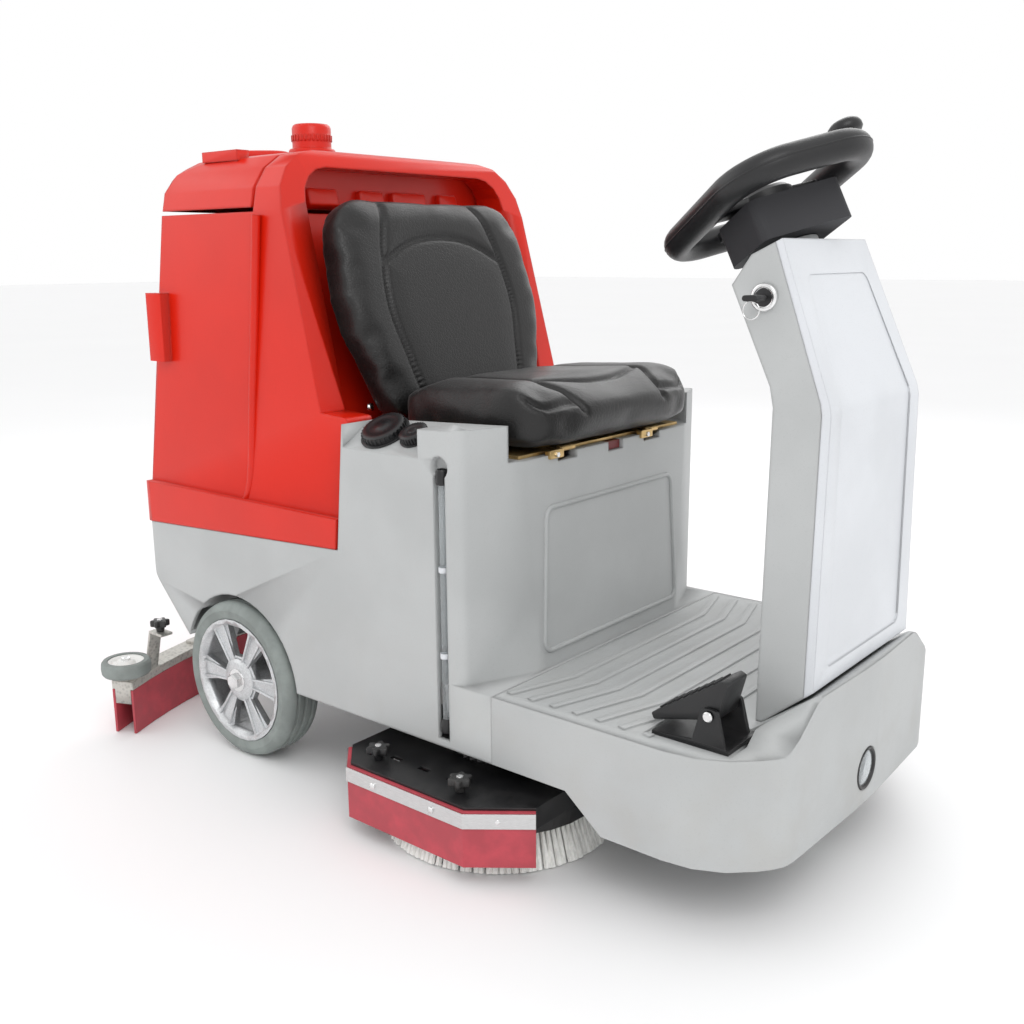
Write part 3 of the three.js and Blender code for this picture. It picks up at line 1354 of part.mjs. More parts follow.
const barHalf = SQUEEGEE_BAR_WIDTH / 2;
const barTop = SQUEEGEE_BAR_Z + SQUEEGEE_BAR_HEIGHT;
const line = squeegeeLine();
const SIDE_ARM = { y: 355, half: 13, thickness: 5, rise: 88, reach: 62 };
const sideArm = (sign) => {
  const foot = squeegeeX(SIDE_ARM.y);
  return prism(
    "y",
    [
      [foot - 18, barTop - 2],
      [foot + 18, barTop - 2],
      [foot + SIDE_ARM.reach - 20, barTop + SIDE_ARM.rise - SIDE_ARM.thickness],
      [foot + SIDE_ARM.reach + 18, barTop + SIDE_ARM.rise - SIDE_ARM.thickness],
      [foot + SIDE_ARM.reach + 18, barTop + SIDE_ARM.rise],
      [foot + SIDE_ARM.reach - 24, barTop + SIDE_ARM.rise],
      [foot + 14, barTop + SIDE_ARM.thickness],
      [foot - 18, barTop + SIDE_ARM.thickness],
    ],
    sign * SIDE_ARM.y - SIDE_ARM.half,
    sign * SIDE_ARM.y + SIDE_ARM.half,
  );
};
add(
  "squeegee_bar",
  join(
    sideArm(-1),
    sideArm(1),
    prism("z", strip(line, -barHalf, barHalf), SQUEEGEE_BAR_Z + 30, barTop),
    prism("z", strip(line, -barHalf + BLADE_THICKNESS + 1, barHalf - BLADE_THICKNESS - 1), SQUEEGEE_BAR_Z, SQUEEGEE_BAR_Z + 31),
  ),
  FINISH.steel,
);
for (const [name, from] of [["squeegee_blade_front", -barHalf], ["squeegee_blade_rear", barHalf - BLADE_THICKNESS]])
  add(name, prism("z", strip(line, from, from + BLADE_THICKNESS), 0.5, SQUEEGEE_BAR_Z + 29), FINISH.redRubber);

function squeegeeBracket() {
  const arm = box(SQUEEGEE_MID_X - 16, HITCH.x + 20, -40, 40, barTop + GAP, barTop + 8);
  const ears = [-1, 1].map((side) => box(HITCH.x - 14, HITCH.x + 20, side * (HITCH.half + 8) - 4,
      side * (HITCH.half + 8) + 4, barTop + 2, HITCH.z + 16));
  const pin = cylinder("y", HITCH.pin, 2 * HITCH.half + 38, [HITCH.x, 0, HITCH.z], 16);
  const cross = prism("z", strip(squeegeeLine(8).slice(2, 7), -14, 14), barTop + GAP, barTop + 6);
  return join(arm, ears[0], ears[1], pin, cross);
}

add("squeegee_bracket", squeegeeBracket(), FINISH.zinc);

const ROLLER_Y = SQUEEGEE_HALF - 16;
for (const [side, sign] of SIDES) {
  const x = squeegeeX(ROLLER_Y) + 2;
  const z = barTop + 12;
  add(
    `squeegee_roller_${side}`,
    turned(
      "z",
      [[7, -ROLLER_HEIGHT / 2], [ROLLER_R - 4, -ROLLER_HEIGHT / 2], [ROLLER_R, -ROLLER_HEIGHT / 2 + 5],
        [ROLLER_R, ROLLER_HEIGHT / 2 - 5], [ROLLER_R - 4, ROLLER_HEIGHT / 2], [7, ROLLER_HEIGHT / 2], [7, -ROLLER_HEIGHT / 2]],
      [x, sign * ROLLER_Y, z + ROLLER_HEIGHT / 2],
      32,
    ),
    FINISH.greyTyre,
  );
  const knob = add(`squeegee_knob_${side}`, starKnob(18), FINISH.blackPlastic);
  knob.position.set(squeegeeX(SIDE_ARM.y) + SIDE_ARM.reach - 3, sign * SIDE_ARM.y, barTop + SIDE_ARM.rise + GAP);
}

// ---------------------------------------------------------------- centre the machine over its own box

const bounds = new THREE.Box3().setFromObject(machine);
machine.position.x = -(bounds.min.x + bounds.max.x) / 2;
machine.position.y = -(bounds.min.y + bounds.max.y) / 2;
machine.position.z = -bounds.min.z;
machine.name = "ride_on_scrubber";

export default machine;
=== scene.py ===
"""Ride-on floor scrubber: the finished looks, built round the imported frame. Metres, +X forward, +Z up."""

import json
import logging
import math
from dataclasses import dataclass, field
from enum import Enum

import bmesh
import bpy
import numpy as np
from mathutils import Matrix, Vector

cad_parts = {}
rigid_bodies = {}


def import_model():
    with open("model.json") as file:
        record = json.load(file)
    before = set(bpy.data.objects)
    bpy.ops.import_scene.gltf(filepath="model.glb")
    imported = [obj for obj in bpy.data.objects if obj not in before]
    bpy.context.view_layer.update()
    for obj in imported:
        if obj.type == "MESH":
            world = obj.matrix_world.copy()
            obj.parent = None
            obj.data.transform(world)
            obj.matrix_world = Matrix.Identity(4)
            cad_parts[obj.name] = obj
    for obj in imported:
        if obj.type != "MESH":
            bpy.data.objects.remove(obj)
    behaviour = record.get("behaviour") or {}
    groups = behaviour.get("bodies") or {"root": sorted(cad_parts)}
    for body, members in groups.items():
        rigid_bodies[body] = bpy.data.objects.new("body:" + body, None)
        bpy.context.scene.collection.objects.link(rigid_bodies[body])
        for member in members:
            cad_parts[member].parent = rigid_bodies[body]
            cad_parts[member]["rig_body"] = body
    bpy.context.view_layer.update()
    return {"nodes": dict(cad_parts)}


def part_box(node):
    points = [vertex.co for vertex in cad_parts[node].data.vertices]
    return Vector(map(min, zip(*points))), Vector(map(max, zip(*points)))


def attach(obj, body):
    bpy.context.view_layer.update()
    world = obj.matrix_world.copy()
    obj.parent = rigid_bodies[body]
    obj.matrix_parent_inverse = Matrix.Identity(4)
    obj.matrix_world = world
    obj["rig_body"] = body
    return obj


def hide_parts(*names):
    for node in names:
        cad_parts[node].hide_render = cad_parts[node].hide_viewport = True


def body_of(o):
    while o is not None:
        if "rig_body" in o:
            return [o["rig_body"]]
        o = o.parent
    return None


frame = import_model()

LOG = logging.getLogger("scrubber")
Point = tuple[float, float, float]
Colour = tuple[float, float, float]
Tint = Colour | bpy.types.NodeSocket
BEVEL_SAMPLES = 4
COLOUR_A, COLOUR_B, COLOUR_OUT = 6, 7, 2  # the Mix node's colour sockets, by number


def axle_x() -> float:
    """Returns where the rear axle stands along the row's X."""
    low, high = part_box("rear_axle")
    return (low[0] + high[0]) / 2


AXLE_X: float = axle_x()


def at(x: float, y: float, z: float) -> Vector:
    """Turns a place measured from the rear axle into the row frame.

    Args:
        x: metres ahead of the rear axle.
        y: metres to the driver's left.
        z: metres above the floor.

    Returns:
        The same place in the row frame.
    """
    return Vector((x + AXLE_X, y, z))


# ---------------------------------------------------------------- materials


class Value:
    """One number in a material, with the arithmetic that its patterns need."""

    def __init__(self, kit: "Kit", socket: bpy.types.NodeSocket) -> None:
        self.kit = kit
        self.socket = socket

    def _math(self, operation: str, *values: "Value | float") -> "Value":
        """Adds one Math node and returns its result."""
        node = self.kit.node("ShaderNodeMath", {"operation": operation}, dict(enumerate(values)))
        return Value(self.kit, node.outputs[0])

    def __add__(self, other: "Value | float") -> "Value":
        """Sum."""
        return self._math("ADD", self, other)

    def __radd__(self, other: float) -> "Value":
        """Sum with a number on the left."""
        return self._math("ADD", other, self)

    def __sub__(self, other: "Value | float") -> "Value":
        """Difference."""
        return self._math("SUBTRACT", self, other)

    def __rsub__(self, other: float) -> "Value":
        """Difference with a number on the left."""
        return self._math("SUBTRACT", other, self)

    def __mul__(self, other: "Value | float") -> "Value":
        """Product."""
        return self._math("MULTIPLY", self, other)

    def __rmul__(self, other: float) -> "Value":
        """Product with a number on the left."""
        return self._math("MULTIPLY", other, self)

    def __truediv__(self, other: "Value | float") -> "Value":
        """Quotient."""
        return self._math("DIVIDE", self, other)

    def __rtruediv__(self, other: float) -> "Value":
        """Quotient with a number on the left."""
        return self._math("DIVIDE", other, self)

    def step(self, low: float, high: float) -> "Value":
        """Rises smoothly from 0 at low to 1 at high."""
        node = self.kit.node(
            "ShaderNodeMapRange",
            {"interpolation_type": "SMOOTHSTEP"},
            {"Value": self, "From Min": low, "From Max": high},
        )
        return Value(self.kit, node.outputs["Result"])


class Kit:
    """A material under construction: one Principled surface and the nodes that vary it."""

    def __init__(self, name: str) -> None:
        """Starts an empty material of that name."""
        self.material = bpy.data.materials.new(name)
        self.material.use_nodes = True
        self.tree = self.material.node_tree
        self.tree.nodes.clear()
        self.output = self.node("ShaderNodeOutputMaterial", {}, {})
        self.surface = self.node("ShaderNodeBsdfPrincipled", {}, {})
        self.tree.links.new(self.surface.outputs[0], self.output.inputs["Surface"])
        self.place = self.node("ShaderNodeTexCoord", {}, {}).outputs["Object"]

    def node(self, kind: str, settings: dict, sockets: dict) -> bpy.types.Node:
        """Makes one node.

        Args:
            kind: the node's type.
            settings: its properties, which are set first.
            sockets: values or links by input name or number.

        Returns:
            The new node.
        """
        made = self.tree.nodes.new(kind)
        for key, value in settings.items():
            setattr(made, key, value)
        for key, value in sockets.items():
            target = made.inputs[key]
            if isinstance(value, Value):
                self.tree.links.new(value.socket, target)
            elif isinstance(value, bpy.types.NodeSocket):
                self.tree.links.new(value, target)
            else:
                target.default_value = value
        return made

    def noise(self, scale: float, detail: float = 3.0, stretch: Point = (1, 1, 1),
              rough: float = 0.55) -> Value:
        """Cloudy variation, from about 0.3 to 0.7.

        Args:
            scale: how many clouds stand in a metre.
            detail: how fine they break up.
            stretch: how much tighter the pattern is along each axis.
            rough: how strong the fine clouds are.

        Returns:
            The noise's number.
        """
        placed = self.node("ShaderNodeMapping", {}, {"Vector": self.place, "Scale": stretch})
        made = self.node(
            "ShaderNodeTexNoise",
            {},
            {"Vector": placed.outputs[0], "Scale": scale, "Detail": detail, "Roughness": rough},
        )
        return Value(self, made.outputs["Fac"])

    def cells(self, scale: float, feature: str = "F1") -> Value:
        """Distance in a pattern of cells, for grain and spangle."""
        made = self.node("ShaderNodeTexVoronoi", {"feature": feature}, {"Vector": self.place, "Scale": scale})
        return Value(self, made.outputs["Distance"])

    def height(self) -> Value:
        """Height above the floor in metres."""
        split = self.node("ShaderNodeSeparateXYZ", {}, {"Vector": self.place})
        return Value(self, split.outputs["Z"])

    def mix(self, factor: Value, low: Tint, high: Tint) -> bpy.types.NodeSocket:
        """Blends two colours by a number.

        Args:
            factor: 0 for the first colour, 1 for the second.
            low: the first colour, or a socket that gives it.
            high: the second colour, or a socket that gives it.

        Returns:
            The blend's socket.
        """
        first, second = ((*tint, 1.0) if isinstance(tint, tuple) else tint for tint in (low, high))
        made = self.node(
            "ShaderNodeMix",
            {"data_type": "RGBA"},
            {"Factor": factor, COLOUR_A: first, COLOUR_B: second},
        )
        return made.outputs[COLOUR_OUT]

    def set(self, **values: object) -> None:
        """Sets constants on the surface's own sockets, named with underscores for spaces."""
        for key, value in values.items():
            self.surface.inputs[key.replace("_", " ")].default_value = value

    def link(self, name: str, value: "Value | bpy.types.NodeSocket") -> None:
        """Feeds a varying value into one of the surface's sockets."""
        self.tree.links.new(value.socket if isinstance(value, Value) else value, self.surface.inputs[name])

    def relief(self, height: Value, depth: float, strength: float = 1.0, edge: float = 0.0) -> None:
        """Bumps the surface.

        Args:
            height: the relief, from 0 to 1.
            depth: what a height of 1 stands for, in metres.
            strength: how much of it shows.
            edge: radius that hard edges are softened to, or 0.
        """
        sockets: dict = {"Height": height, "Distance": depth, "Strength": strength}
        if edge:
            soft = self.node("ShaderNodeBevel", {"samples": BEVEL_SAMPLES}, {"Radius": edge})
            sockets["Normal"] = soft.outputs[0]
        made = self.node("ShaderNodeBump", {}, sockets)
        self.link("Normal", made.outputs[0])


@dataclass(frozen=True)
class Finish:
    """What every finish states: its name, its colour and its shine."""

    name: str
    colour: Colour
    roughness: float = 0.5
    edge: float = 0.003

    def shade(self, factor: float) -> Colour:
        """The finish's colour made lighter or darker by a factor."""
        return tuple(min(1.0, channel * factor) for channel in self.colour)

    def dress(self, kit: Kit) -> None:
        """Adds this finish's nodes to a kit."""
        raise NotImplementedError

    def make(self) -> bpy.types.Material:
        """Returns the material, made once."""
        found = bpy.data.materials.get(self.name)
        if found is None:
            kit = Kit(self.name)
            kit.set(Roughness=self.roughness)
            self.dress(kit)
            found = kit.material
        return found


@dataclass(frozen=True)
class Moulding(Finish):
    """Moulded plastic: faint clouds of colour, fine grain, and scuffs near the floor."""

    grain: float = 900.0
    depth: float = 0.00025
    coat: float = 0.0
    dust: float = 0.25
    shine: float = 0.5

    def dress(self, kit: Kit) -> None:
        """Adds the plastic's clouds, grain, scuffs and dust."""
        clouds = kit.noise(3.2, 4.0)
        body = kit.mix(clouds.step(0.35, 0.65), self.shade(0.94), self.shade(1.04))
        speck = kit.noise(420.0, 1.0).step(0.62, 0.7)
        body = kit.mix(speck * 0.22, body, self.shade(0.78))
        low = (1.0 - kit.height().step(0.02, 0.42)) * kit.noise(11.0, 6.0).step(0.42, 0.68)
        body = kit.mix(low * self.dust, body, (0.42, 0.4, 0.37))
        kit.link("Base Color", body)
        scuffs = kit.noise(34.0, 8.0, (1, 1, 2), 0.7).step(0.5, 0.74)
        kit.link("Roughness", (self.roughness - 0.03) + scuffs * 0.07 + low * 0.15)
        kit.set(Coat_Weight=self.coat, Coat_Roughness=0.12, Specular_IOR_Level=self.shine)
        kit.relief(kit.noise(self.grain, 2.0) + kit.noise(38.0, 2.0) * 1.6, self.depth, 0.5, self.edge)


@dataclass(frozen=True)
class Paint(Finish):
    """Powder-coated steel, worn a little on the high grain."""

    def dress(self, kit: Kit) -> None:
        """Adds the coat's orange peel and dust."""
        dusty = kit.noise(18.0, 6.0).step(0.4, 0.72)
        kit.link("Base Color", kit.mix(dusty * 0.12, self.colour, (0.12, 0.115, 0.11)))
        kit.link("Roughness", self.roughness + dusty * 0.18)
        kit.set(Metallic=0.0, Coat_Weight=0.15, Coat_Roughness=0.3)
        kit.relief(kit.noise(700.0, 2.0), 0.0002, 0.6, self.edge)


@dataclass(frozen=True)
class Steel(Finish):
    """Bare or plated metal with fine lines along one axis."""

    stretch: Point = (1.0, 1.0, 30.0)
    lines: float = 60.0

    def dress(self, kit: Kit) -> None:
        """Adds the brushed lines and faint stains."""
        streak = kit.noise(self.lines, 6.0, self.stretch, 0.7)
        stain = kit.noise(14.0, 4.0).step(0.45, 0.75)
        kit.link("Base Color", kit.mix(streak.step(0.3, 0.7), self.shade(0.84), self.shade(1.08)))
        kit.link("Roughness", (self.roughness - 0.05) + streak * 0.12 + stain * 0.12)
        kit.set(Metallic=1.0)
        kit.relief(streak, 0.0001, 0.4, self.edge)


@dataclass(frozen=True)
class Spangle(Finish):
    """Hot-dip zinc, with its grey spangles."""

    def dress(self, kit: Kit) -> None:
        """Adds the spangles and white bloom."""
        crystals = kit.cells(130.0)
        bloom = kit.noise(30.0, 6.0).step(0.42, 0.68)
        kit.link("Base Color", kit.mix(crystals.step(0.1, 0.6), self.shade(0.78), self.shade(1.1)))
        kit.link("Roughness", self.roughness + crystals * 0.2 + bloom * 0.15)
        kit.set(Metallic=0.9)
        kit.relief(kit.noise(220.0, 3.0), 0.00012, 0.5, self.edge)


@dataclass(frozen=True)
class Vinyl(Finish):
    """Upholstery vinyl with a leather grain."""

    def dress(self, kit: Kit) -> None:
        """Adds pebbled grain, creases and a soft shine."""
        pebble = kit.cells(420.0)
        crease = kit.cells(150.0, "DISTANCE_TO_EDGE").step(0.0, 0.12)
        wear = kit.noise(7.0, 4.0).step(0.4, 0.7)
        kit.link("Base Color", kit.mix(wear, self.shade(0.8), self.shade(1.35)))
        kit.link("Roughness", self.roughness + wear * 0.1 + pebble * 0.12)
        kit.set(Sheen_Weight=0.08, Sheen_Roughness=0.4, Specular_IOR_Level=0.45)
        kit.relief((1.0 - pebble) * 0.6 + crease * 0.8, 0.0004, 0.55)


@dataclass(frozen=True)
class Rubber(Finish):
    """Matt rubber with dust in its pores."""

    def dress(self, kit: Kit) -> None:
        """Adds pores, dust and rubbed patches."""
        rubbed = kit.noise(24.0, 6.0).step(0.38, 0.7)
        kit.link("Base Color", kit.mix(rubbed, self.shade(0.86), self.shade(1.12)))
        kit.link("Roughness", self.roughness + rubbed * 0.12)
        kit.relief(kit.noise(520.0, 3.0), 0.0003, 0.6, self.edge)


@dataclass(frozen=True)
class Filament(Finish):
    """Nylon brush filament, with painted shade darkening it towards the block above."""

    def dress(self, kit: Kit) -> None:
        """Adds strand-to-strand variation and painted shade at the roots, under the block."""
        strand = kit.noise(300.0, 2.0, (1, 1, 0.05))
        # root rises towards the block; it mixes in a darker grey as painted shade where the tufts sit under
        # the block.
        root = kit.height().step(0.02, 0.075)
        body = kit.mix(strand.step(0.35, 0.65), self.shade(0.88), self.shade(1.05))
        kit.link("Base Color", kit.mix(root * 0.35, body, (0.55, 0.54, 0.5)))
        kit.link("Roughness", self.roughness + strand * 0.2)


@dataclass(frozen=True)
class Clear(Finish):
    """Clear moulded plastic."""

    def dress(self, kit: Kit) -> None:
        """Adds faint wall ripples to a transmitting surface."""
        haze = kit.noise(60.0, 3.0)
        kit.link("Roughness", self.roughness + haze * 0.08)
        kit.link("Base Color", kit.mix(haze, self.shade(0.94), self.shade(1.04)))
        kit.set(Transmission_Weight=0.85, IOR=1.45)
        kit.relief(haze, 0.0002, 0.3)


@dataclass(frozen=True)
class Floor(Finish):
    """Pale sealed floor."""

    def dress(self, kit: Kit) -> None:
        """Adds a trace of cloud to the paint."""
        cloud = kit.noise(0.8, 2.0)
        kit.link("Base Color", kit.mix(cloud, self.shade(0.985), self.shade(1.015)))
        kit.link("Roughness", self.roughness + cloud * 0.05)


RED = Moulding("red_moulding", (0.64, 0.014, 0.003), 0.34, 0.006, grain=260.0, depth=0.00014, coat=0.05,
               dust=0.1, shine=0.35)
GREY = Moulding("grey_moulding", (0.45, 0.462, 0.462), 0.5, 0.006, grain=1100.0, depth=0.0003, dust=0.3)
PALE = Moulding("pale_moulding", (0.66, 0.68, 0.71), 0.36, 0.004, grain=1100.0, depth=0.0002, dust=0.1)
BLACK = Moulding("black_plastic", (0.009, 0.009, 0.010), 0.38, 0.002, grain=1400.0, depth=0.0002, dust=0.08)
SOFT_BLACK = Moulding("soft_grip", (0.010, 0.010, 0.011), 0.42, 0.002, grain=700.0, depth=0.0004, dust=0.05)
SHADOW = Moulding("dark_gap", (0.012, 0.012, 0.013), 0.8, 0.0, grain=500.0, depth=0.0002, dust=0.0)
CONNECTOR = Moulding("dark_red_plastic", (0.16, 0.01, 0.012), 0.45, 0.001, dust=0.0)
BLACK_PAINT = Paint("black_paint", (0.007, 0.007, 0.008), 0.4, 0.002)
STAINLESS = Steel("stainless", (0.66, 0.66, 0.66), 0.3, 0.001, stretch=(2.0, 2.0, 40.0))
CHROME = Steel("bright_steel", (0.8, 0.8, 0.8), 0.16, 0.001, stretch=(1, 1, 1), lines=20.0)
ALLOY = Steel("silver_paint", (0.66, 0.67, 0.68), 0.45, 0.0015, stretch=(1, 1, 1), lines=300.0)
ZINC = Spangle("galvanised", (0.56, 0.545, 0.51), 0.4, 0.001)
BRASS = Steel("yellow_zinc", (0.62, 0.44, 0.2), 0.38, 0.001, stretch=(1, 1, 1), lines=120.0)
VINYL = Vinyl("black_vinyl", (0.0085, 0.008, 0.008), 0.3)
TYRE = Rubber("grey_rubber", (0.235, 0.262, 0.25), 0.62, 0.002)
RED_RUBBER = Rubber("red_rubber", (0.46, 0.055, 0.075), 0.5, 0.001)
WHITE_PLASTIC = Moulding("white_plastic", (0.82, 0.82, 0.8), 0.4, 0.001, dust=0.1)
BRISTLE = Filament("white_filament", (0.86, 0.86, 0.83), 0.5)
CLEAR = Clear("clear_plastic", (0.86, 0.9, 0.92), 0.08)

NODE_FINISH: dict[str, Finish] = {
    "solution_tank": GREY, "footboard": GREY, "recovery_tank": RED, "tank_lid": RED,
    "main_frame": BLACK_PAINT,
    "rear_axle": STAINLESS, "battery_pack": BLACK, "suction_motor": STAINLESS, "drive_wheel": TYRE,
    "steering_fork": BLACK_PAINT, "steering_chain": STAINLESS, "lower_shaft": STAINLESS,
    "steering_shaft": STAINLESS,
    "column_housing": GREY, "column_cover": PALE, "pedal_base": BLACK, "pedal": BLACK, "seat_plate": BRASS,
    "charging_socket": CONNECTOR, "deck_plate": BLACK_PAINT, "deck_actuator": STAINLESS,
    "brush_motor_right": BLACK_PAINT,
    "brush_motor_left": BLACK_PAINT, "brush_block_right": BLACK, "brush_block_left": BLACK,
    "apron_right": RED_RUBBER,
    "apron_left": RED_RUBBER, "apron_strip_right": STAINLESS, "apron_strip_left": STAINLESS,
    "squeegee_bar": ZINC,
    "squeegee_bracket": ZINC, "squeegee_blade_front": RED_RUBBER, "squeegee_blade_rear": RED_RUBBER,
    "direction_switch": BLACK, "key": BLACK, "sight_tube": CLEAR,
}


# ---------------------------------------------------------------- mesh tools


def link_mesh(name: str, mesh: bpy.types.Mesh, finish: Finish) -> bpy.types.Object:
    """Puts a mesh in the scene under a name and a finish."""
    mesh.materials.clear()
    mesh.materials.append(finish.make())
    made = bpy.data.objects.new(name, mesh)
    bpy.context.scene.collection.objects.link(made)
    return made


def from_bmesh(name: str, shape: bmesh.types.BMesh, finish: Finish, smooth: float = 35.0) -> bpy.types.Object:
    """Turns a bmesh into an object, closed faces outward, smooth up to an angle in degrees."""
    bmesh.ops.remove_doubles(shape, verts=shape.verts, dist=1e-6)
    bmesh.ops.recalc_face_normals(shape, faces=shape.faces)
    mesh = bpy.data.meshes.new(name)
    shape.to_mesh(mesh)
    shape.free()
    shade(mesh, smooth)
    return link_mesh(name, mesh, finish)


def shade(mesh: bpy.types.Mesh, smooth: float) -> None:
    """Shades a mesh smooth, with edges sharper than an angle in degrees kept hard."""
    mesh.polygons.foreach_set("use_smooth", [True] * len(mesh.polygons))
    mesh.set_sharp_from_angle(angle=math.radians(smooth))


def bake(target: bpy.types.Object) -> bpy.types.Object:
    """Applies an object's modifiers to its mesh."""
    bpy.context.view_layer.update()
    graph = bpy.context.evaluated_depsgraph_get()
    mesh = bpy.data.meshes.new_from_object(target.evaluated_get(graph))
    target.modifiers.clear()
    target.data = mesh
    return target


def soften(target: bpy.types.Object, width: float, segments: int = 2,
           angle: float = 40.0) -> bpy.types.Object:
    """Bevels an object's hard edges and bakes the result."""
    bevel = target.modifiers.new("edge", "BEVEL")
    bevel.width = width
    bevel.segments = segments
    bevel.limit_method = "ANGLE"
    bevel.angle_limit = math.radians(angle)
    bake(target)
    shade(target.data, 40.0)
    return target


def settled_normals(target: bpy.types.Object) -> bpy.types.Object:
    """Weighs an object's normals by face area, so that flat faces shade flat beside rounded edges."""
    weigh = target.modifiers.new("normals", "WEIGHTED_NORMAL")
    weigh.mode = "FACE_AREA"
    weigh.weight = 90
    weigh.keep_sharp = True
    return bake(target)


def lathe(name: str, profile: list[tuple[float, float]], place: Matrix, finish: Finish, steps: int = 64,
          smooth: float = 30.0) -> bpy.types.Object:
    """Turns a profile about the local Z axis.

    Args:
        name: the object's name.
        profile: (radius, height) points, from the axis out and back to it, or a closed ring.
        place: where the local axes stand in the row frame.
        finish: its finish.
        steps: sides round the axis.
        smooth: angle up to which faces shade as one.

    Returns:
        The turned object.
    """
    shape = bmesh.new()
    closed = profile[0][0] > 1e-6
    rings = []
    for radius, height in profile:
        if radius < 1e-6:
            rings.append([shape.verts.new(place @ Vector((0, 0, height)))])
            continue
        rings.append([
            shape.verts.new(place @ Vector((radius * math.cos(2 * math.pi * i / steps),
                                            radius * math.sin(2 * math.pi * i / steps), height)))
            for i in range(steps)
        ])
    pairs = list(zip(rings, rings[1:] + rings[:1])) if closed else list(zip(rings, rings[1:]))
    for low, high in pairs:
        for i in range(steps):
            j = (i + 1) % steps
            if len(low) == 1 and len(high) == 1:
                break
            if len(low) == 1:
                shape.faces.new((low[0], high[j], high[i]))
            elif len(high) == 1:
                shape.faces.new((low[i], low[j], high[0]))
            else:
                shape.faces.new((low[i], low[j], high[j], high[i]))
    return from_bmesh(name, shape, finish, smooth)


def slab(name: str, outline: list[tuple[float, float]], low: float, high: float, place: Matrix,
         finish: Finish,
         edge: float = 0.0, segments: int = 2) -> bpy.types.Object:
    """Raises an outline in the local XY plane into a slab, with softened edges.

    Args:
        name: the object's name.
        outline: the corners in the local plane.
        low: local height of the underside.
        high: local height of the top.
        place: where the local axes stand in the row frame.
        finish: its finish.
        edge: width that its edges are softened by.
        segments: steps across a softened edge.

    Returns:
        The slab.
    """
    shape = bmesh.new()
    under = [shape.verts.new(place @ Vector((x, y, low))) for x, y in outline]
    over = [shape.verts.new(place @ Vector((x, y, high))) for x, y in outline]
    shape.faces.new(list(reversed(under)))
    shape.faces.new(over)
    for i in range(len(outline)):
        j = (i + 1) % len(outline)
        shape.faces.new((under[i], under[j], over[j], over[i]))
    made = from_bmesh(name, shape, finish)
    return soften(made, edge, segments) if edge else made


def rounded(corners: list[tuple[float, float, float]], steps: int = 8) -> list[tuple[float, float]]:
    """Rounds an outline's corners.

    Args:
        corners: (x, y, radius) for each corner, in order.
        steps: segments in each rounded corner.

    Returns:
        The outline's points.
    """
    points: list[tuple[float, float]] = []
    for i, (x, y, radius) in enumerate(corners):
        here = Vector((x, y))
        before = (Vector(corners[i - 1][:2]) - here).normalized()
        after = (Vector(corners[(i + 1) % len(corners)][:2]) - here).normalized()
        half = before.angle(after) / 2
        if radius <= 0 or abs(math.sin(half)) < 1e-3:
            points.append((x, y))
            continue
        centre = here + (before + after).normalized() * (radius / math.sin(half))
        start = here + before * (radius / math.tan(half)) - centre
        end = here + after * (radius / math.tan(half)) - centre
        sweep = start.angle_signed(end)
        for step in range(steps + 1):
            turn = -sweep * step / steps
            points.append((centre.x + start.x * math.cos(turn) - start.y * math.sin(turn),
                           centre.y + start.x * math.sin(turn) + start.y * math.cos(turn)))
    return points


def sweep(name: str, path: list[Vector], radii: list[float], finish: Finish, closed: bool = False,
          sides: int = 12,
          flat: float = 1.0, up: Vector = Vector((0, 0, 1))) -> bpy.types.Object:
    """Sweeps a round or oval section along a path.

    Args:
        name: the object's name.
        path: the points of its centre line.
        radii: the radius at each point.
        finish: its finish.
        closed: whether the path meets its own start.
        sides: faces round the section.
        flat: the section's height over its width.
        up: direction that the section's height is kept near.

    Returns:
        The swept object.
    """
    shape = bmesh.new()
    count = len(path)
    rings = []
    for i, here in enumerate(path):
        after = path[(i + 1) % count] if closed or i + 1 < count else here
        before = path[i - 1] if closed or i else here
        along = (after - before).normalized()
        side = along.cross(up).normalized()
        top = side.cross(along).normalized()
        rings.append([
            shape.verts.new(here + side * (radii[i] * math.cos(2 * math.pi * k / sides))
                            + top * (radii[i] * flat * math.sin(2 * math.pi * k / sides)))
            for k in range(sides)
        ])
    for low, high in (zip(rings, rings[1:] + rings[:1]) if closed else zip(rings, rings[1:])):
        for k in range(sides):
            j = (k + 1) % sides
            shape.faces.new((low[k], low[j], high[j], high[k]))
    if not closed:
        shape.faces.new(list(reversed(rings[0])))
        shape.faces.new(rings[-1])
    return from_bmesh(name, shape, finish, 50.0)


def axes(origin: Vector, forward: Vector, upward: Vector) -> Matrix:
    """Local axes at a place: X near forward, Z along upward."""
    z = upward.normalized()
    x = (forward - z * forward.dot(z)).normalized()
    y = z.cross(x)
    return Matrix.Translation(origin) @ Matrix((x, y, z)).transposed().to_4x4()


def joined(name: str, pieces: list[bpy.types.Object]) -> bpy.types.Object:
    """Joins pieces of one finish or several into one object."""
    shape = bmesh.new()
    finishes: list[bpy.types.Material] = []
    for piece in pieces:
        local = bmesh.new()
        local.from_mesh(piece.data)
        for material in piece.data.materials:
            if material not in finishes:
                finishes.append(material)
        order = [finishes.index(m) for m in piece.data.materials]
        for face in local.faces:
            face.material_index = order[min(face.material_index, len(order) - 1)]
        temp = bpy.data.meshes.new("part")
        local.to_mesh(temp)
        local.free()
        shape.from_mesh(temp)
        bpy.data.meshes.remove(temp)
        bpy.data.objects.remove(piece)
    mesh = bpy.data.meshes.new(name)
    shape.to_mesh(mesh)
    shape.free()
    for material in finishes:
        mesh.materials.append(material)
    made = bpy.data.objects.new(name, mesh)
    bpy.context.scene.collection.objects.link(made)
    return made


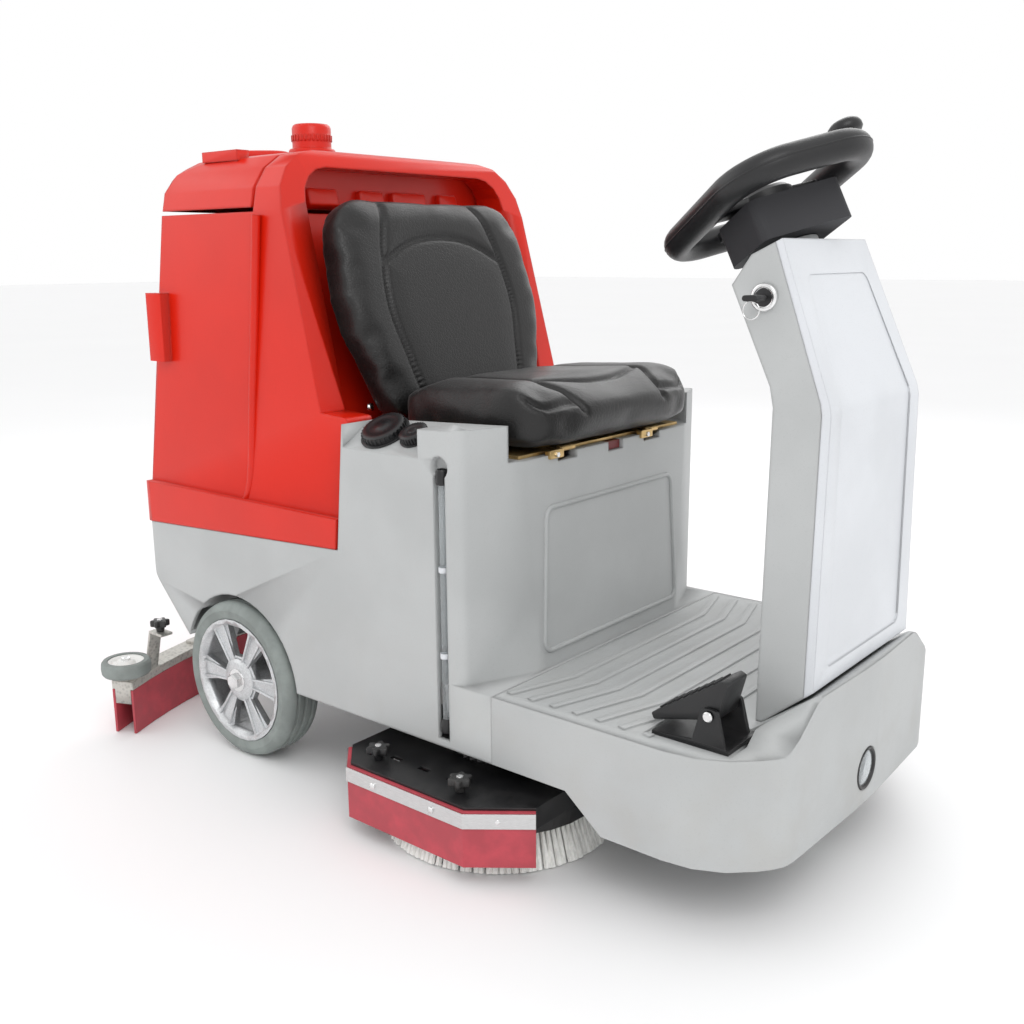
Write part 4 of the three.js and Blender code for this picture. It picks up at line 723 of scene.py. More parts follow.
def settle(piece: bpy.types.Object, body: str, replaces: list[str] | None = None) -> None:
    """Fixes a finished piece to its body and says what it stands for.

    Args:
        piece: the finished object.
        body: the CAD body that it rides on.
        replaces: CAD nodes that it is shown in place of.
    """
    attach(piece, body)
    if replaces:
        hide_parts(*replaces)
    LOG.info("%s rides on %s", piece.name, body)


def node_body(node: str) -> str:
    """The body that a CAD node belongs to."""
    return body_of(frame["nodes"][node])[0]


def refined(node: str, finish: Finish, smooth: float = 27.0) -> bpy.types.Object:
    """A merged copy of a CAD node whose curves shade smoothly."""
    shape = bmesh.new()
    shape.from_mesh(frame["nodes"][node].data)
    bmesh.ops.remove_doubles(shape, verts=shape.verts, dist=2e-5)
    bmesh.ops.dissolve_limit(shape, angle_limit=math.radians(0.5), verts=shape.verts, edges=shape.edges)
    bmesh.ops.triangulate(shape, faces=shape.faces)
    mesh = bpy.data.meshes.new(f"{node}_look")
    shape.to_mesh(mesh)
    shape.free()
    shade(mesh, smooth)
    return settled_normals(link_mesh(f"{node}_look", mesh, finish))


# ---------------------------------------------------------------- geometry nodes


class Shape(Enum):
    """What a repeated piece looks like."""

    SCREW = "screw"
    TUFT = "tuft"
    RIB = "rib"


@dataclass
class Repeat:
    """Copies one small shape onto listed places, through a node tree with named sizes."""

    name: str
    shape: Shape
    places: list[Vector]
    aims: list[Vector]
    finish: Finish
    width: float = 0.01
    height: float = 0.004
    jitter: float = 0.0
    seed: int = 7
    stretch: float = 3.0
    spins: list[Vector] = field(default_factory=list)

    def _add(self, tree: bpy.types.NodeTree, kind: str, settings: dict, sockets: dict) -> bpy.types.Node:
        """Adds one node to the tree, its settings first and then its sockets."""
        made = tree.nodes.new(kind)
        for key, value in settings.items():
            setattr(made, key, value)
        for key, value in sockets.items():
            if isinstance(value, bpy.types.NodeSocket):
                tree.links.new(value, made.inputs[key])
            else:
                made.inputs[key].default_value = value
        return made

    def _single(self, tree: bpy.types.NodeTree, width: bpy.types.NodeSocket,
                height: bpy.types.NodeSocket) -> bpy.types.NodeSocket:
        """The one shape that is repeated, in its own axes."""
        half = self._add(tree, "ShaderNodeMath", {"operation": "MULTIPLY"}, {0: width, 1: 0.5}).outputs[0]
        if self.shape is Shape.TUFT:
            tip = self._add(tree, "ShaderNodeMath", {"operation": "MULTIPLY"}, {0: width, 1: 0.85}).outputs[0]
            cone = self._add(tree, "GeometryNodeMeshCone", {}, {
                "Vertices": 6, "Side Segments": 1, "Radius Top": tip, "Radius Bottom": half, "Depth": height})
            return cone.outputs["Mesh"]
        if self.shape is Shape.SCREW:
            head = self._add(tree, "GeometryNodeMeshCylinder", {}, {
                "Vertices": 16, "Side Segments": 1, "Radius": half, "Depth": height})
            dome = self._add(tree, "GeometryNodeMeshUVSphere", {},
                             {"Segments": 16, "Rings": 8, "Radius": half})
            size = self._add(tree, "ShaderNodeCombineXYZ", {}, {"X": 0.82, "Y": 0.82, "Z": 0.34})
            lift = self._add(tree, "ShaderNodeMath", {"operation": "MULTIPLY"}, {0: height, 1: 0.5})
            shift = self._add(tree, "ShaderNodeCombineXYZ", {}, {"Z": lift.outputs[0]})
            moved = self._add(tree, "GeometryNodeTransform", {}, {
                "Geometry": dome.outputs["Mesh"], "Scale": size.outputs[0], "Translation": shift.outputs[0]})
            both = tree.nodes.new("GeometryNodeJoinGeometry")
            tree.links.new(moved.outputs[0], both.inputs[0])
            tree.links.new(head.outputs["Mesh"], both.inputs[0])
            return both.outputs[0]
        long = self._add(tree, "ShaderNodeMath", {"operation": "MULTIPLY"},
                         {0: width, 1: self.stretch}).outputs[0]
        size = self._add(tree, "ShaderNodeCombineXYZ", {}, {"X": width, "Y": long, "Z": height})
        cube = self._add(tree, "GeometryNodeMeshCube", {}, {"Size": size.outputs[0]})
        return cube.outputs["Mesh"]

    def build(self) -> bpy.types.Object:
        """Returns the copies as one plain mesh object."""
        mesh = bpy.data.meshes.new(self.name)
        mesh.from_pydata([tuple(p) for p in self.places], [], [])
        aim = mesh.attributes.new("aim", "FLOAT_VECTOR", "POINT")
        aim.data.foreach_set("vector", [c for v in self.aims for c in v])
        spin = mesh.attributes.new("spin", "FLOAT_VECTOR", "POINT")
        spins = self.spins or [Vector((0, 0, 1)) if abs(v.z) < 0.9 else Vector((1, 0, 0)) for v in self.aims]
        spin.data.foreach_set("vector", [c for v in spins for c in v])
        tree = bpy.data.node_groups.new(f"{self.name}_copies", "GeometryNodeTree")
        face = tree.interface
        face.new_socket("Geometry", in_out="INPUT", socket_type="NodeSocketGeometry")
        inputs = {
            label: face.new_socket(label, in_out="INPUT", socket_type=kind).identifier
            for label, kind in (("Width", "NodeSocketFloat"), ("Height", "NodeSocketFloat"),
                                ("Jitter", "NodeSocketFloat"), ("Seed", "NodeSocketInt"))
        }
        face.new_socket("Geometry", in_out="OUTPUT", socket_type="NodeSocketGeometry")
        enter = tree.nodes.new("NodeGroupInput")
        leave = tree.nodes.new("NodeGroupOutput")
        single = self._single(tree, enter.outputs["Width"], enter.outputs["Height"])
        aimed = self._add(tree, "GeometryNodeInputNamedAttribute", {"data_type": "FLOAT_VECTOR"},
                          {"Name": "aim"})
        spun = self._add(tree, "GeometryNodeInputNamedAttribute", {"data_type": "FLOAT_VECTOR"},
                         {"Name": "spin"})
        turn = self._add(tree, "FunctionNodeAlignRotationToVector", {"axis": "Z"},
                         {"Vector": aimed.outputs[0]})
        turn = self._add(tree, "FunctionNodeAlignRotationToVector", {"axis": "Y", "pivot_axis": "Z"},
                         {"Rotation": turn.outputs[0], "Vector": spun.outputs[0]})
        low = self._add(tree, "ShaderNodeMath", {"operation": "MULTIPLY"},
                        {0: enter.outputs["Jitter"], 1: -1.0})
        wobble = self._add(tree, "FunctionNodeRandomValue", {"data_type": "FLOAT_VECTOR"}, {
            "Min": low.outputs[0], "Max": enter.outputs["Jitter"], "Seed": enter.outputs["Seed"]})
        placed = self._add(tree, "GeometryNodeInstanceOnPoints", {}, {
            "Points": enter.outputs["Geometry"], "Instance": single, "Rotation": turn.outputs[0]})
        turned = self._add(tree, "GeometryNodeRotateInstances", {}, {
            "Instances": placed.outputs[0], "Rotation": wobble.outputs[0]})
        real = self._add(tree, "GeometryNodeRealizeInstances", {}, {"Geometry": turned.outputs[0]})
        done = self._add(tree, "GeometryNodeSetMaterial", {}, {
            "Geometry": real.outputs[0], "Material": self.finish.make()})
        tree.links.new(done.outputs[0], leave.inputs[0])
        made = link_mesh(self.name, mesh, self.finish)
        modifier = made.modifiers.new("copies", "NODES")
        modifier.node_group = tree
        for label, value in (("Width", self.width), ("Height", self.height), ("Jitter", self.jitter),
                             ("Seed", self.seed)):
            modifier[inputs[label]] = value
        bake(made)
        if len(made.data.materials) > 1:
            made.data.materials.clear()
            made.data.materials.append(self.finish.make())
        shade(made.data, 40.0)
        return made


@dataclass
class Pipe:
    """A round bead along a path, through a node tree with named sizes."""

    name: str
    points: list[Vector]
    finish: Finish
    radius: float = 0.004
    sides: int = 8
    closed: bool = False

    def build(self) -> bpy.types.Object:
        """Returns the bead as one plain mesh object."""
        count = len(self.points)
        edges = [(i, i + 1) for i in range(count - 1)] + ([(count - 1, 0)] if self.closed else [])
        mesh = bpy.data.meshes.new(self.name)
        mesh.from_pydata([tuple(p) for p in self.points], edges, [])
        tree = bpy.data.node_groups.new(f"{self.name}_bead", "GeometryNodeTree")
        face = tree.interface
        face.new_socket("Geometry", in_out="INPUT", socket_type="NodeSocketGeometry")
        radius = face.new_socket("Radius", in_out="INPUT", socket_type="NodeSocketFloat").identifier
        sides = face.new_socket("Sides", in_out="INPUT", socket_type="NodeSocketInt").identifier
        face.new_socket("Geometry", in_out="OUTPUT", socket_type="NodeSocketGeometry")
        enter = tree.nodes.new("NodeGroupInput")
        leave = tree.nodes.new("NodeGroupOutput")
        curve = tree.nodes.new("GeometryNodeMeshToCurve")
        ring = tree.nodes.new("GeometryNodeCurvePrimitiveCircle")
        solid = tree.nodes.new("GeometryNodeCurveToMesh")
        solid.inputs["Fill Caps"].default_value = True
        real = tree.nodes.new("GeometryNodeRealizeInstances")
        dressed = tree.nodes.new("GeometryNodeSetMaterial")
        dressed.inputs["Material"].default_value = self.finish.make()
        for source, target in (
            (enter.outputs["Geometry"], curve.inputs[0]),
            (enter.outputs["Radius"], ring.inputs["Radius"]),
            (enter.outputs["Sides"], ring.inputs["Resolution"]),
            (curve.outputs[0], solid.inputs["Curve"]),
            (ring.outputs[0], solid.inputs["Profile Curve"]),
            (solid.outputs[0], real.inputs[0]),
            (real.outputs[0], dressed.inputs["Geometry"]),
            (dressed.outputs[0], leave.inputs[0]),
        ):
            tree.links.new(source, target)
        made = link_mesh(self.name, mesh, self.finish)
        modifier = made.modifiers.new("bead", "NODES")
        modifier.node_group = tree
        modifier[radius] = self.radius
        modifier[sides] = self.sides
        bake(made)
        made.data.materials.clear()
        made.data.materials.append(self.finish.make())
        shade(made.data, 60.0)
        return made


def bend_path(points: list[Vector], steps: int = 8) -> list[Vector]:
    """A smooth path through the points."""
    path: list[Vector] = []
    for i in range(len(points) - 1):
        a = points[max(i - 1, 0)]
        b, c = points[i], points[i + 1]
        d = points[min(i + 2, len(points) - 1)]
        for step in range(steps):
            t = step / steps
            path.append(0.5 * ((2 * b) + (c - a) * t + (2 * a - 5 * b + 4 * c - d) * t * t
                               + (3 * b - a - 3 * c + d) * t * t * t))
    return [*path, points[-1]]


# ---------------------------------------------------------------- sub-assemblies


@dataclass
class Shells:
    """Every moulding, plate and casting whose CAD shape is right as it stands: smoothed and finished."""

    finishes: dict[str, Finish] = field(default_factory=lambda: dict(NODE_FINISH))
    smooth: dict[str, float] = field(default_factory=lambda: {
        "footboard": 55.0, "solution_tank": 22.0, "recovery_tank": 32.0, "tank_lid": 32.0,
        "column_housing": 34.0,
        "column_cover": 34.0})
    bevelled: dict[str, float] = field(default_factory=lambda: {
        "console_housing": 0.005, "pedal": 0.003, "key": 0.002, "direction_switch": 0.001})

    def build(self) -> None:
        """Makes a finished copy of each node and fixes it to the node's body."""
        for node, finish in self.finishes.items():
            piece = refined(node, finish, self.smooth.get(node, 27.0))
            if node in self.bevelled:
                soften(piece, self.bevelled[node])
            settle(piece, node_body(node), [node])


@dataclass
class SteeringHead:
    """Ring, spokes and hub over the instrument box, with the spinner knob and the panel."""

    place_x: float = 0.8645
    place_z: float = 1.003
    tilt: float = 26.0
    turn: float = -33.0
    length: float = 0.336
    width: float = 0.25
    corner: float = 0.088
    grip: float = 0.0215
    seam: float = 0.0011
    seam_sink: float = 0.0004
    arm_tip: float = 0.017
    arm_root: float = 0.026
    hub: float = 0.044
    knob_radius: float = 0.025
    knob_back: float = 0.08
    knob_in: float = 0.018
    knob_lift: float = 0.019
    console_forward: float = 0.022
    console_drop: float = 0.02

    def axes(self) -> Matrix:
        """The wheel's own axes: X along its length, Z up the column."""
        tilt, turn = math.radians(self.tilt), math.radians(self.turn)
        up = Vector((-math.sin(tilt), 0, math.cos(tilt)))
        fore = Vector((math.cos(tilt), 0, math.sin(tilt)))
        along = fore * math.cos(turn) + Vector((0, 1, 0)) * math.sin(turn)
        return axes(at(self.place_x, 0, self.place_z), along, up)

    def loop(self, grow: float, height: float) -> list[Vector]:
        """A closed path round the ring, grown outwards by a distance and lifted to a height."""
        half_x, half_y = self.length / 2 - self.grip + grow, self.width / 2 - self.grip + grow
        corner = self.corner - self.grip + grow
        flat = rounded([(-half_x, -half_y, corner), (half_x, -half_y, corner), (half_x, half_y, corner),
                        (-half_x, half_y, corner)], 20)
        place = self.axes()
        return [place @ Vector((x, y, height)) for x, y in flat]

    def ring(self) -> None:
        """Makes the padded ring with its moulded seam, the spokes and the hub."""
        place = self.axes()
        path = self.loop(0, 0)
        up = place.to_3x3() @ Vector((0, 0, 1))
        ring = sweep("steering_ring", path, [self.grip] * len(path), SOFT_BLACK, True, 24, up=up)
        edge = self.loop(self.grip - self.seam_sink, 0.0)
        seam = sweep("ring_seam", edge, [self.seam] * len(edge), SOFT_BLACK, True, 6, up=up)
        half_x, half_y = self.length / 2 - self.grip, self.width / 2 - self.grip
        tip, root, rim = self.arm_tip, self.arm_root, self.hub
        long_arm = [(-half_x, -tip), (0, -root), (0, root), (-half_x, tip)]
        cross_arm = [(-tip, -half_y), (tip, -half_y), (root, 0), (tip, half_y), (-tip, half_y), (-root, 0)]
        arms = [
            slab("arm_long", long_arm, -0.011, 0.004, place, BLACK, 0.003),
            slab("arm_cross", cross_arm, -0.0105, 0.0035, place, BLACK, 0.003),
        ]
        dome = [(0, -0.018), (0.036, -0.018), (rim, -0.012), (rim, 0.002), (0.038, 0.008), (0.022, 0.010),
                (0.020, 0.0085), (0, 0.0085)]
        hub = lathe("hub", dome, place, BLACK)
        plate = slab("under_plate", rounded([(-0.075, -0.05, 0.03), (0.036, -0.05, 0.02), (0.036, 0.05, 0.02),
                                             (-0.075, 0.05, 0.03)]), -0.0165, -0.0115, place, BLACK, 0.0015)
        wheel = joined("steering_wheel_look", [ring, seam, *arms, hub, plate])
        settle(wheel, "steering_head", ["steering_wheel"])

    def knob(self) -> None:
        """Makes the spinner knob on its stem."""
        r = self.knob_radius
        place = self.axes() @ Matrix.Translation((
            self.length / 2 - self.knob_back, self.width / 2 - self.knob_in, self.knob_lift))
        profile = [(0, 0), (0.009, 0), (0.0085, 0.008), (0.014, 0.0105), (r - 0.003, 0.013), (r, 0.017),
                   (r, 0.023), (r - 0.002, 0.028), (r - 0.008, 0.0325), (r - 0.015, 0.0336), (0, 0.034)]
        settle(lathe("spinner_knob_look", profile, place, BLACK, 48, 50.0), "spinner_knob", ["spinner_knob"])

    def panel(self) -> None:
        """Makes the instrument panel: a plate, a gauge window and three buttons."""
        place = self.axes() @ Matrix.Translation((self.console_forward, 0, -self.console_drop))
        card = [(-0.05, -0.01, 0.006), (0.012, -0.01, 0.006), (0.012, 0.062, 0.006), (-0.05, 0.062, 0.006)]
        plate = slab("panel_plate", rounded(card), 0.0, 0.0016, place, WHITE_PLASTIC, 0.0005)
        window = slab("panel_window", [(-0.012, 0.002), (0.006, 0.002), (0.006, 0.05), (-0.012, 0.05)],
                      0.0016, 0.0026,
                      place, SHADOW, 0.0003)
        buttons = [
            lathe(f"button_{i}", [(0, 0.0016), (0.0065, 0.0016), (0.0065, 0.004), (0.005, 0.0052),
                                  (0, 0.0056)],
                  place @ Matrix.Translation((-0.036, 0.006 + 0.02 * i, 0)), finish, 24)
            for i, finish in enumerate((BLACK, BLACK, CONNECTOR))
        ]
        settle(joined("instrument_panel", [plate, window, *buttons]), "steering_head")

    def build(self) -> None:
        """Makes the whole head."""
        self.ring()
        self.knob()
        self.panel()


@dataclass
class RearWheel:
    """One rear wheel: grooved tyre, ribbed rim, hub and nut."""

    side: str
    sign: float
    radius: float = 0.15
    rim: float = 0.118
    inner: float = 0.272
    width: float = 0.084
    spokes: int = 6
    dish: float = 0.012
    tread_groove: float = 0.0035

    def place(self) -> Matrix:
        """Axes on the axle, Z outwards, from the wheel's inner face."""
        out = Vector((0, self.sign, 0))
        return axes(at(0, self.sign * self.inner, self.radius), Vector((0, 0, 1)), out)

    def tyre(self) -> None:
        """Makes the tyre with rounded shoulders and three grooves."""
        low, high, r = 0.001, self.width, self.radius
        tread: list[tuple[float, float]] = []
        for i in range(3):
            middle = self.width * (0.3 + 0.2 * i)
            deep = r - self.tread_groove
            tread += [(r, middle - self.tread_groove), (deep, middle - 0.0022), (deep, middle + 0.0022),
                      (r, middle + self.tread_groove)]
        profile = [(self.rim + 0.0003, low), (self.rim + 0.016, low), (r - 0.010, low + 0.003),
                   (r - 0.003, low + 0.009),
                   (r, low + 0.017), *tread, (r, high - 0.017), (r - 0.003, high - 0.009),
                   (r - 0.010, high - 0.003),
                   (self.rim + 0.016, high - 0.0004), (self.rim + 0.012, high - 0.0022),
                   (self.rim + 0.004, high - 0.0022),
                   (self.rim + 0.0003, high - 0.004)]
        piece = lathe(f"tyre_{self.side}_look", profile, self.place(), TYRE, 96)
        settle(piece, f"rear_wheel_{self.side}", [f"rear_tyre_{self.side}"])

    def casting(self) -> None:
        """Makes the rim: the CAD casting, paired ribs on every spoke, hub boss, nut and washer."""
        node = f"rear_rim_{self.side}"
        pieces = [refined(node, ALLOY)]
        place = self.place()
        face = self.width - self.dish
        for i in range(self.spokes):
            turn = Matrix.Rotation(math.radians(30 + 60 * i), 4, "Z")
            for offset in (-1, 1):
                outline = [(0.03, offset * 0.005), (0.108, offset * 0.013), (0.108, offset * 0.018),
                           (0.03, offset * 0.0095)]
                pieces.append(slab("rib", outline if offset < 0 else outline[::-1], face - 0.004,
                                   face + 0.0055,
                                   place @ turn, ALLOY, 0.0012, 1))
        boss = lathe("boss", [(0.0155, face - 0.01), (0.042, face - 0.004), (0.040, face + 0.004),
                              (0.034, face + 0.008),
                              (0.026, face + 0.0085), (0.0155, face + 0.0085)], place, ALLOY, 64)
        washer = lathe("washer", [(0, face + 0.0085), (0.022, face + 0.0085), (0.022, face + 0.0105),
                                  (0.0195, face + 0.0112), (0, face + 0.0112)], place, CHROME, 48)
        nut = lathe("nut", [(0, face + 0.0112), (0.0155, face + 0.0112), (0.0155, face + 0.019),
                            (0.0125, face + 0.022),
                            (0.008, face + 0.0222), (0, face + 0.0222)], place, CHROME, 6, 20.0)
        pieces += [boss, washer, nut]
        settle(joined(f"{node}_casting", pieces), f"rear_wheel_{self.side}", [node])

    def build(self) -> None:
        """Makes the wheel."""
        self.tyre()
        self.casting()


@dataclass
class Seat:
    """Cushion and back, inflated as cloth and then sewn with pressed channels."""

    half: float = 0.248
    rear: float = 0.306
    front: float = 0.648
    low: float = 0.64
    high: float = 0.724
    lean: float = 17.0
    voxel: float = 0.006
    swell: float = 0.012
    easing: int = 24
    frames: int = 20
    pressure: float = 4.0
    stay_half: float = 0.13
    stay_width: float = 0.014
    groove: float = 0.007
    groove_width: float = 0.0065

    def back_axes(self) -> Matrix:
        """The back's own axes: X out of its face, Z up it."""
        lean = math.radians(self.lean)
        return axes(at(self.rear - 0.004, 0, self.low + 0.012), Vector((math.cos(lean), 0, math.sin(lean))),
                    Vector((-math.sin(lean), 0, math.cos(lean))))

    def inflate(self, node: str, name: str) -> bpy.types.Object:
        """Puffs a CAD block up as cloth.

        Args:
            node: the CAD node to start from.
            name: the new object's name.

        Returns:
            The puffed cushion, one closed mesh.
        """
        made = refined(node, VINYL)
        made.name = name
        remesh = made.modifiers.new("skin", "REMESH")
        remesh.mode = "VOXEL"
        remesh.voxel_size = self.voxel
        bake(made)
        start = np.empty(len(made.data.vertices) * 3)
        made.data.vertices.foreach_get("co", start)
        cloth = made.modifiers.new("cloth", "CLOTH")
        cloth.settings.use_pressure = True
        cloth.settings.uniform_pressure_force = self.pressure
        cloth.settings.quality = 4
        cloth.settings.tension_stiffness = 60.0
        cloth.settings.compression_stiffness = 60.0
        cloth.settings.bending_stiffness = 30.0
        cloth.settings.effector_weights.gravity = 0.0
        cloth.point_cache.frame_start = 1
        cloth.point_cache.frame_end = self.frames
        scene = bpy.context.scene
        for step in range(1, self.frames + 1):
            scene.frame_set(step)
        bake(made)
        end = np.empty_like(start)
        made.data.vertices.foreach_get("co", end)
        move = (end - start).reshape(-1, 3)
        size = np.linalg.norm(move, axis=1, keepdims=True)
        move *= np.minimum(1.0, self.swell / np.maximum(size, 1e-9))
        made.data.vertices.foreach_set("co", (start.reshape(-1, 3) + move).ravel())
        scene.frame_set(1)
        ease = made.modifiers.new("ease", "SMOOTH")
        ease.factor = 0.5
        ease.iterations = self.easing
        finer = made.modifiers.new("finer", "SUBSURF")
        finer.levels = 1
        finer.render_levels = 1
        return bake(made)

    def sew(self, piece: bpy.types.Object, place: Matrix, seams: list[list[tuple[float, float]]], face: int,
            toward: float) -> None:
        """Presses sewn channels into a cushion.

        Args:
            piece: the cushion.
            place: the axes that the seams are drawn in.
            seams: each seam's points on the cushion's face.
            face: the axis that the face looks along, 0 or 2.
            toward: 1 if the face looks along that axis, -1 if against it.
        """
        mesh = piece.data
        count = len(mesh.vertices)
        points = np.empty(count * 3)
        normals = np.empty(count * 3)
        mesh.vertices.foreach_get("co", points)
        mesh.vertices.foreach_get("normal", normals)
        points, normals = points.reshape(-1, 3), normals.reshape(-1, 3)
        inverse = np.array(place.inverted())
        local = points @ inverse[:3, :3].T + inverse[:3, 3]
        facing = (normals @ inverse[:3, :3].T)[:, face] * toward
        flat = np.delete(local, face, axis=1)
        press = np.zeros(count)
        for seam in seams:
            path = np.array([(p.x, p.y) for p in bend_path([Vector((u, v, 0)) for u, v in seam], 14)])
            nearest = np.full(count, 1e9)
            for u, v in path:
                nearest = np.minimum(nearest, (flat[:, 0] - u) ** 2 + (flat[:, 1] - v) ** 2)
            press = np.maximum(press, np.exp(-nearest / self.groove_width ** 2)
                               + 0.35 * np.exp(-nearest / (4 * self.groove_width) ** 2))
        press *= np.clip(facing * 2.2, 0, 1) * self.groove
        points -= normals * press[:, None]
        mesh.vertices.foreach_set("co", points.ravel())
        mesh.update()
        shade(mesh, 80.0)

    def stays(self) -> None:
        """Makes the two bent bars that carry the back from the seat plate."""
        run = [(0.36, 0.631), (0.30, 0.629), (0.262, 0.629), (0.243, 0.642), (0.226, 0.69), (0.19, 0.815)]
        bars = []
        for y in (-self.stay_half, self.stay_half):
            path = bend_path([at(x, y, z) for x, z in run], 6)
            widths = [self.stay_width] * len(path)
            bars.append(sweep("stay", path, widths, BLACK_PAINT, False, 8, 0.3, Vector((1, 0, 1))))
        settle(joined("seat_stays", bars), node_body("seat_back"))

    def build(self) -> None:
        """Makes both cushions with their seams."""
        cushion = self.inflate("seat_cushion", "seat_cushion_padded")
        middle = self.rear + 0.5 * (self.front - self.rear)
        sides = [[(self.rear + 0.03, s * 0.115), (middle - 0.05, s * 0.13), (middle + 0.07, s * 0.15),
                  (self.front - 0.05, s * 0.13), (self.front - 0.005, s * 0.115)] for s in (-1, 1)]
        arch = [(self.front - 0.10, -0.145), (self.front - 0.075, -0.06), (self.front - 0.07, 0.0),
                (self.front - 0.075, 0.06), (self.front - 0.10, 0.145)]
        bolsters = [[(self.front - 0.03, s * 0.13), (self.front - 0.03, s * 0.19),
                     (self.front - 0.05, s * 0.235)]
                    for s in (-1, 1)]
        self.sew(cushion, Matrix.Translation((AXLE_X, 0, 0)), [*sides, arch, *bolsters], 2, 1)
        settle(cushion, node_body("seat_cushion"), ["seat_cushion"])
        self.stays()
        back = self.inflate("seat_back", "seat_back_padded")
        place = self.back_axes()
        lines = [[(s * 0.125, 0.0), (s * 0.15, 0.11), (s * 0.165, 0.2), (s * 0.15, 0.3), (s * 0.12, 0.385)]
                 for s in (-1, 1)]
        cross = [(-0.155, 0.275), (-0.08, 0.31), (0.0, 0.32), (0.08, 0.31), (0.155, 0.275)]
        self.sew(back, place, [*lines, cross], 0, 1)
        settle(back, node_body("seat_back"), ["seat_back"])


@dataclass
class Turned:
    """A turned piece's place and size, read from its CAD node."""

    node: str
    axis: Vector
    low: float = 0.0
    high: float = 0.0
    radius: float = 0.0
    centre: Vector = field(default_factory=Vector)

    def __post_init__(self) -> None:
        """Measures the node along and round the axis."""
        axis = self.axis.normalized()
        points = [v.co.copy() for v in frame["nodes"][self.node].data.vertices]
        flat = [p - axis * p.dot(axis) for p in points]
        spans = [(min(p[i] for p in flat), max(p[i] for p in flat)) for i in range(3)]
        middle = Vector([(low + high) / 2 for low, high in spans])
        middle -= axis * middle.dot(axis)
        self.low = min(p.dot(axis) for p in points)
        self.high = max(p.dot(axis) for p in points)
        self.radius = max((p - middle).length for p in flat)
        self.centre = middle + axis * self.low

    def place(self) -> Matrix:
        """Axes at the node's foot, Z along its axis."""
        forward = Vector((1, 0, 0)) if abs(self.axis.x) < 0.9 else Vector((0, 1, 0))
        return axes(self.centre, forward, self.axis)


@dataclass
class Caps:
    """The dirty-water tank's cap and the two filler caps, ribbed for grip."""

    ribs: int = 30
    rib: float = 0.0035
    rib_share: float = 0.19

    def cap(self, node: str, axis: Vector, finish: Finish, shoulder: float) -> None:
        """Makes one cap.

        Args:
            node: the CAD node that it stands for.
            axis: the way it screws out.
            finish: its plastic.
            shoulder: its grip's radius as a share of its flange.
        """
        size = Turned(node, axis)
        r, h = size.radius, size.high - size.low
        grip = r * shoulder
        place = size.place()
        profile = [(0, 0), (r - 0.001, 0), (r, 0.001), (r, h * 0.16), (r - 0.002, h * 0.2), (grip, h * 0.22),
                   (grip, h * 0.84), (grip - 0.002, h * 0.92), (grip - 0.005, h * 0.96),
                   (grip - 0.010, h * 0.97),
                   (grip - 0.012, h * 0.93), (grip * 0.3, h * 0.93), (grip * 0.26, h * 0.98), (0, h)]
        body = lathe(f"{node}_shell", profile, place, finish, 64)
        turns = [2 * math.pi * i / self.ribs for i in range(self.ribs)]
        places = [place @ Vector((grip * math.cos(t), grip * math.sin(t), h * 0.53)) for t in turns]
        out = [place.to_3x3() @ Vector((math.cos(t), math.sin(t), 0)) for t in turns]
        along = [place.to_3x3() @ Vector((0, 0, 1)) for _ in turns]
        width = min(self.rib, h * self.rib_share)
        ribs = Repeat(f"{node}_ribs", Shape.RIB, places, out, finish, width, self.rib, spins=along)
        piece = joined(f"{node}_look", [body, ribs.build()])
        settle(piece, node_body(node), [node])

    def build(self) -> None:
        """Makes the three caps."""
        slope = Vector((0, -0.5, math.sqrt(0.75)))
        self.cap("tank_cap", Vector((0, 0, 1)), RED, 0.84)
        self.cap("filler_cap_large", slope, BLACK, 0.86)
        self.cap("filler_cap_small", slope, BLACK, 0.86)


@dataclass
class Brushes:
    """Tufts of both brushes, set in rings and flared outwards."""

    x: float = 0.54
    y: float = 0.228
    root: float = 0.176
    tip: float = 0.2
    root_z: float = 0.058
    rings: int = 7
    pitch: float = 0.0092

    def build(self) -> None:
        """Makes the tufts of the right and the left brush."""
        for side, sign in (("right", -1), ("left", 1)):
            places, aims = [], []
            for ring in range(self.rings):
                radius = self.root - 0.005 - 0.012 * ring
                reach = radius * (self.tip - 0.004) / self.root
                count = int(2 * math.pi * radius / self.pitch)
                for i in range(count):
                    turn = 2 * math.pi * (i + 0.5 * (ring % 2)) / count
                    foot = at(self.x + radius * math.cos(turn), sign * self.y + radius * math.sin(turn),
                              self.root_z)
                    end = at(self.x + reach * math.cos(turn), sign * self.y + reach * math.sin(turn), 0.002)
                    places.append(foot)
                    aims.append(end - foot)
            tufts = Repeat(f"bristles_{side}", Shape.TUFT, places, aims, BRISTLE, 0.0066, 0.0575, 0.05, 11)
            settle(tufts.build(), f"brush_{side}", [f"brush_bristles_{side}"])


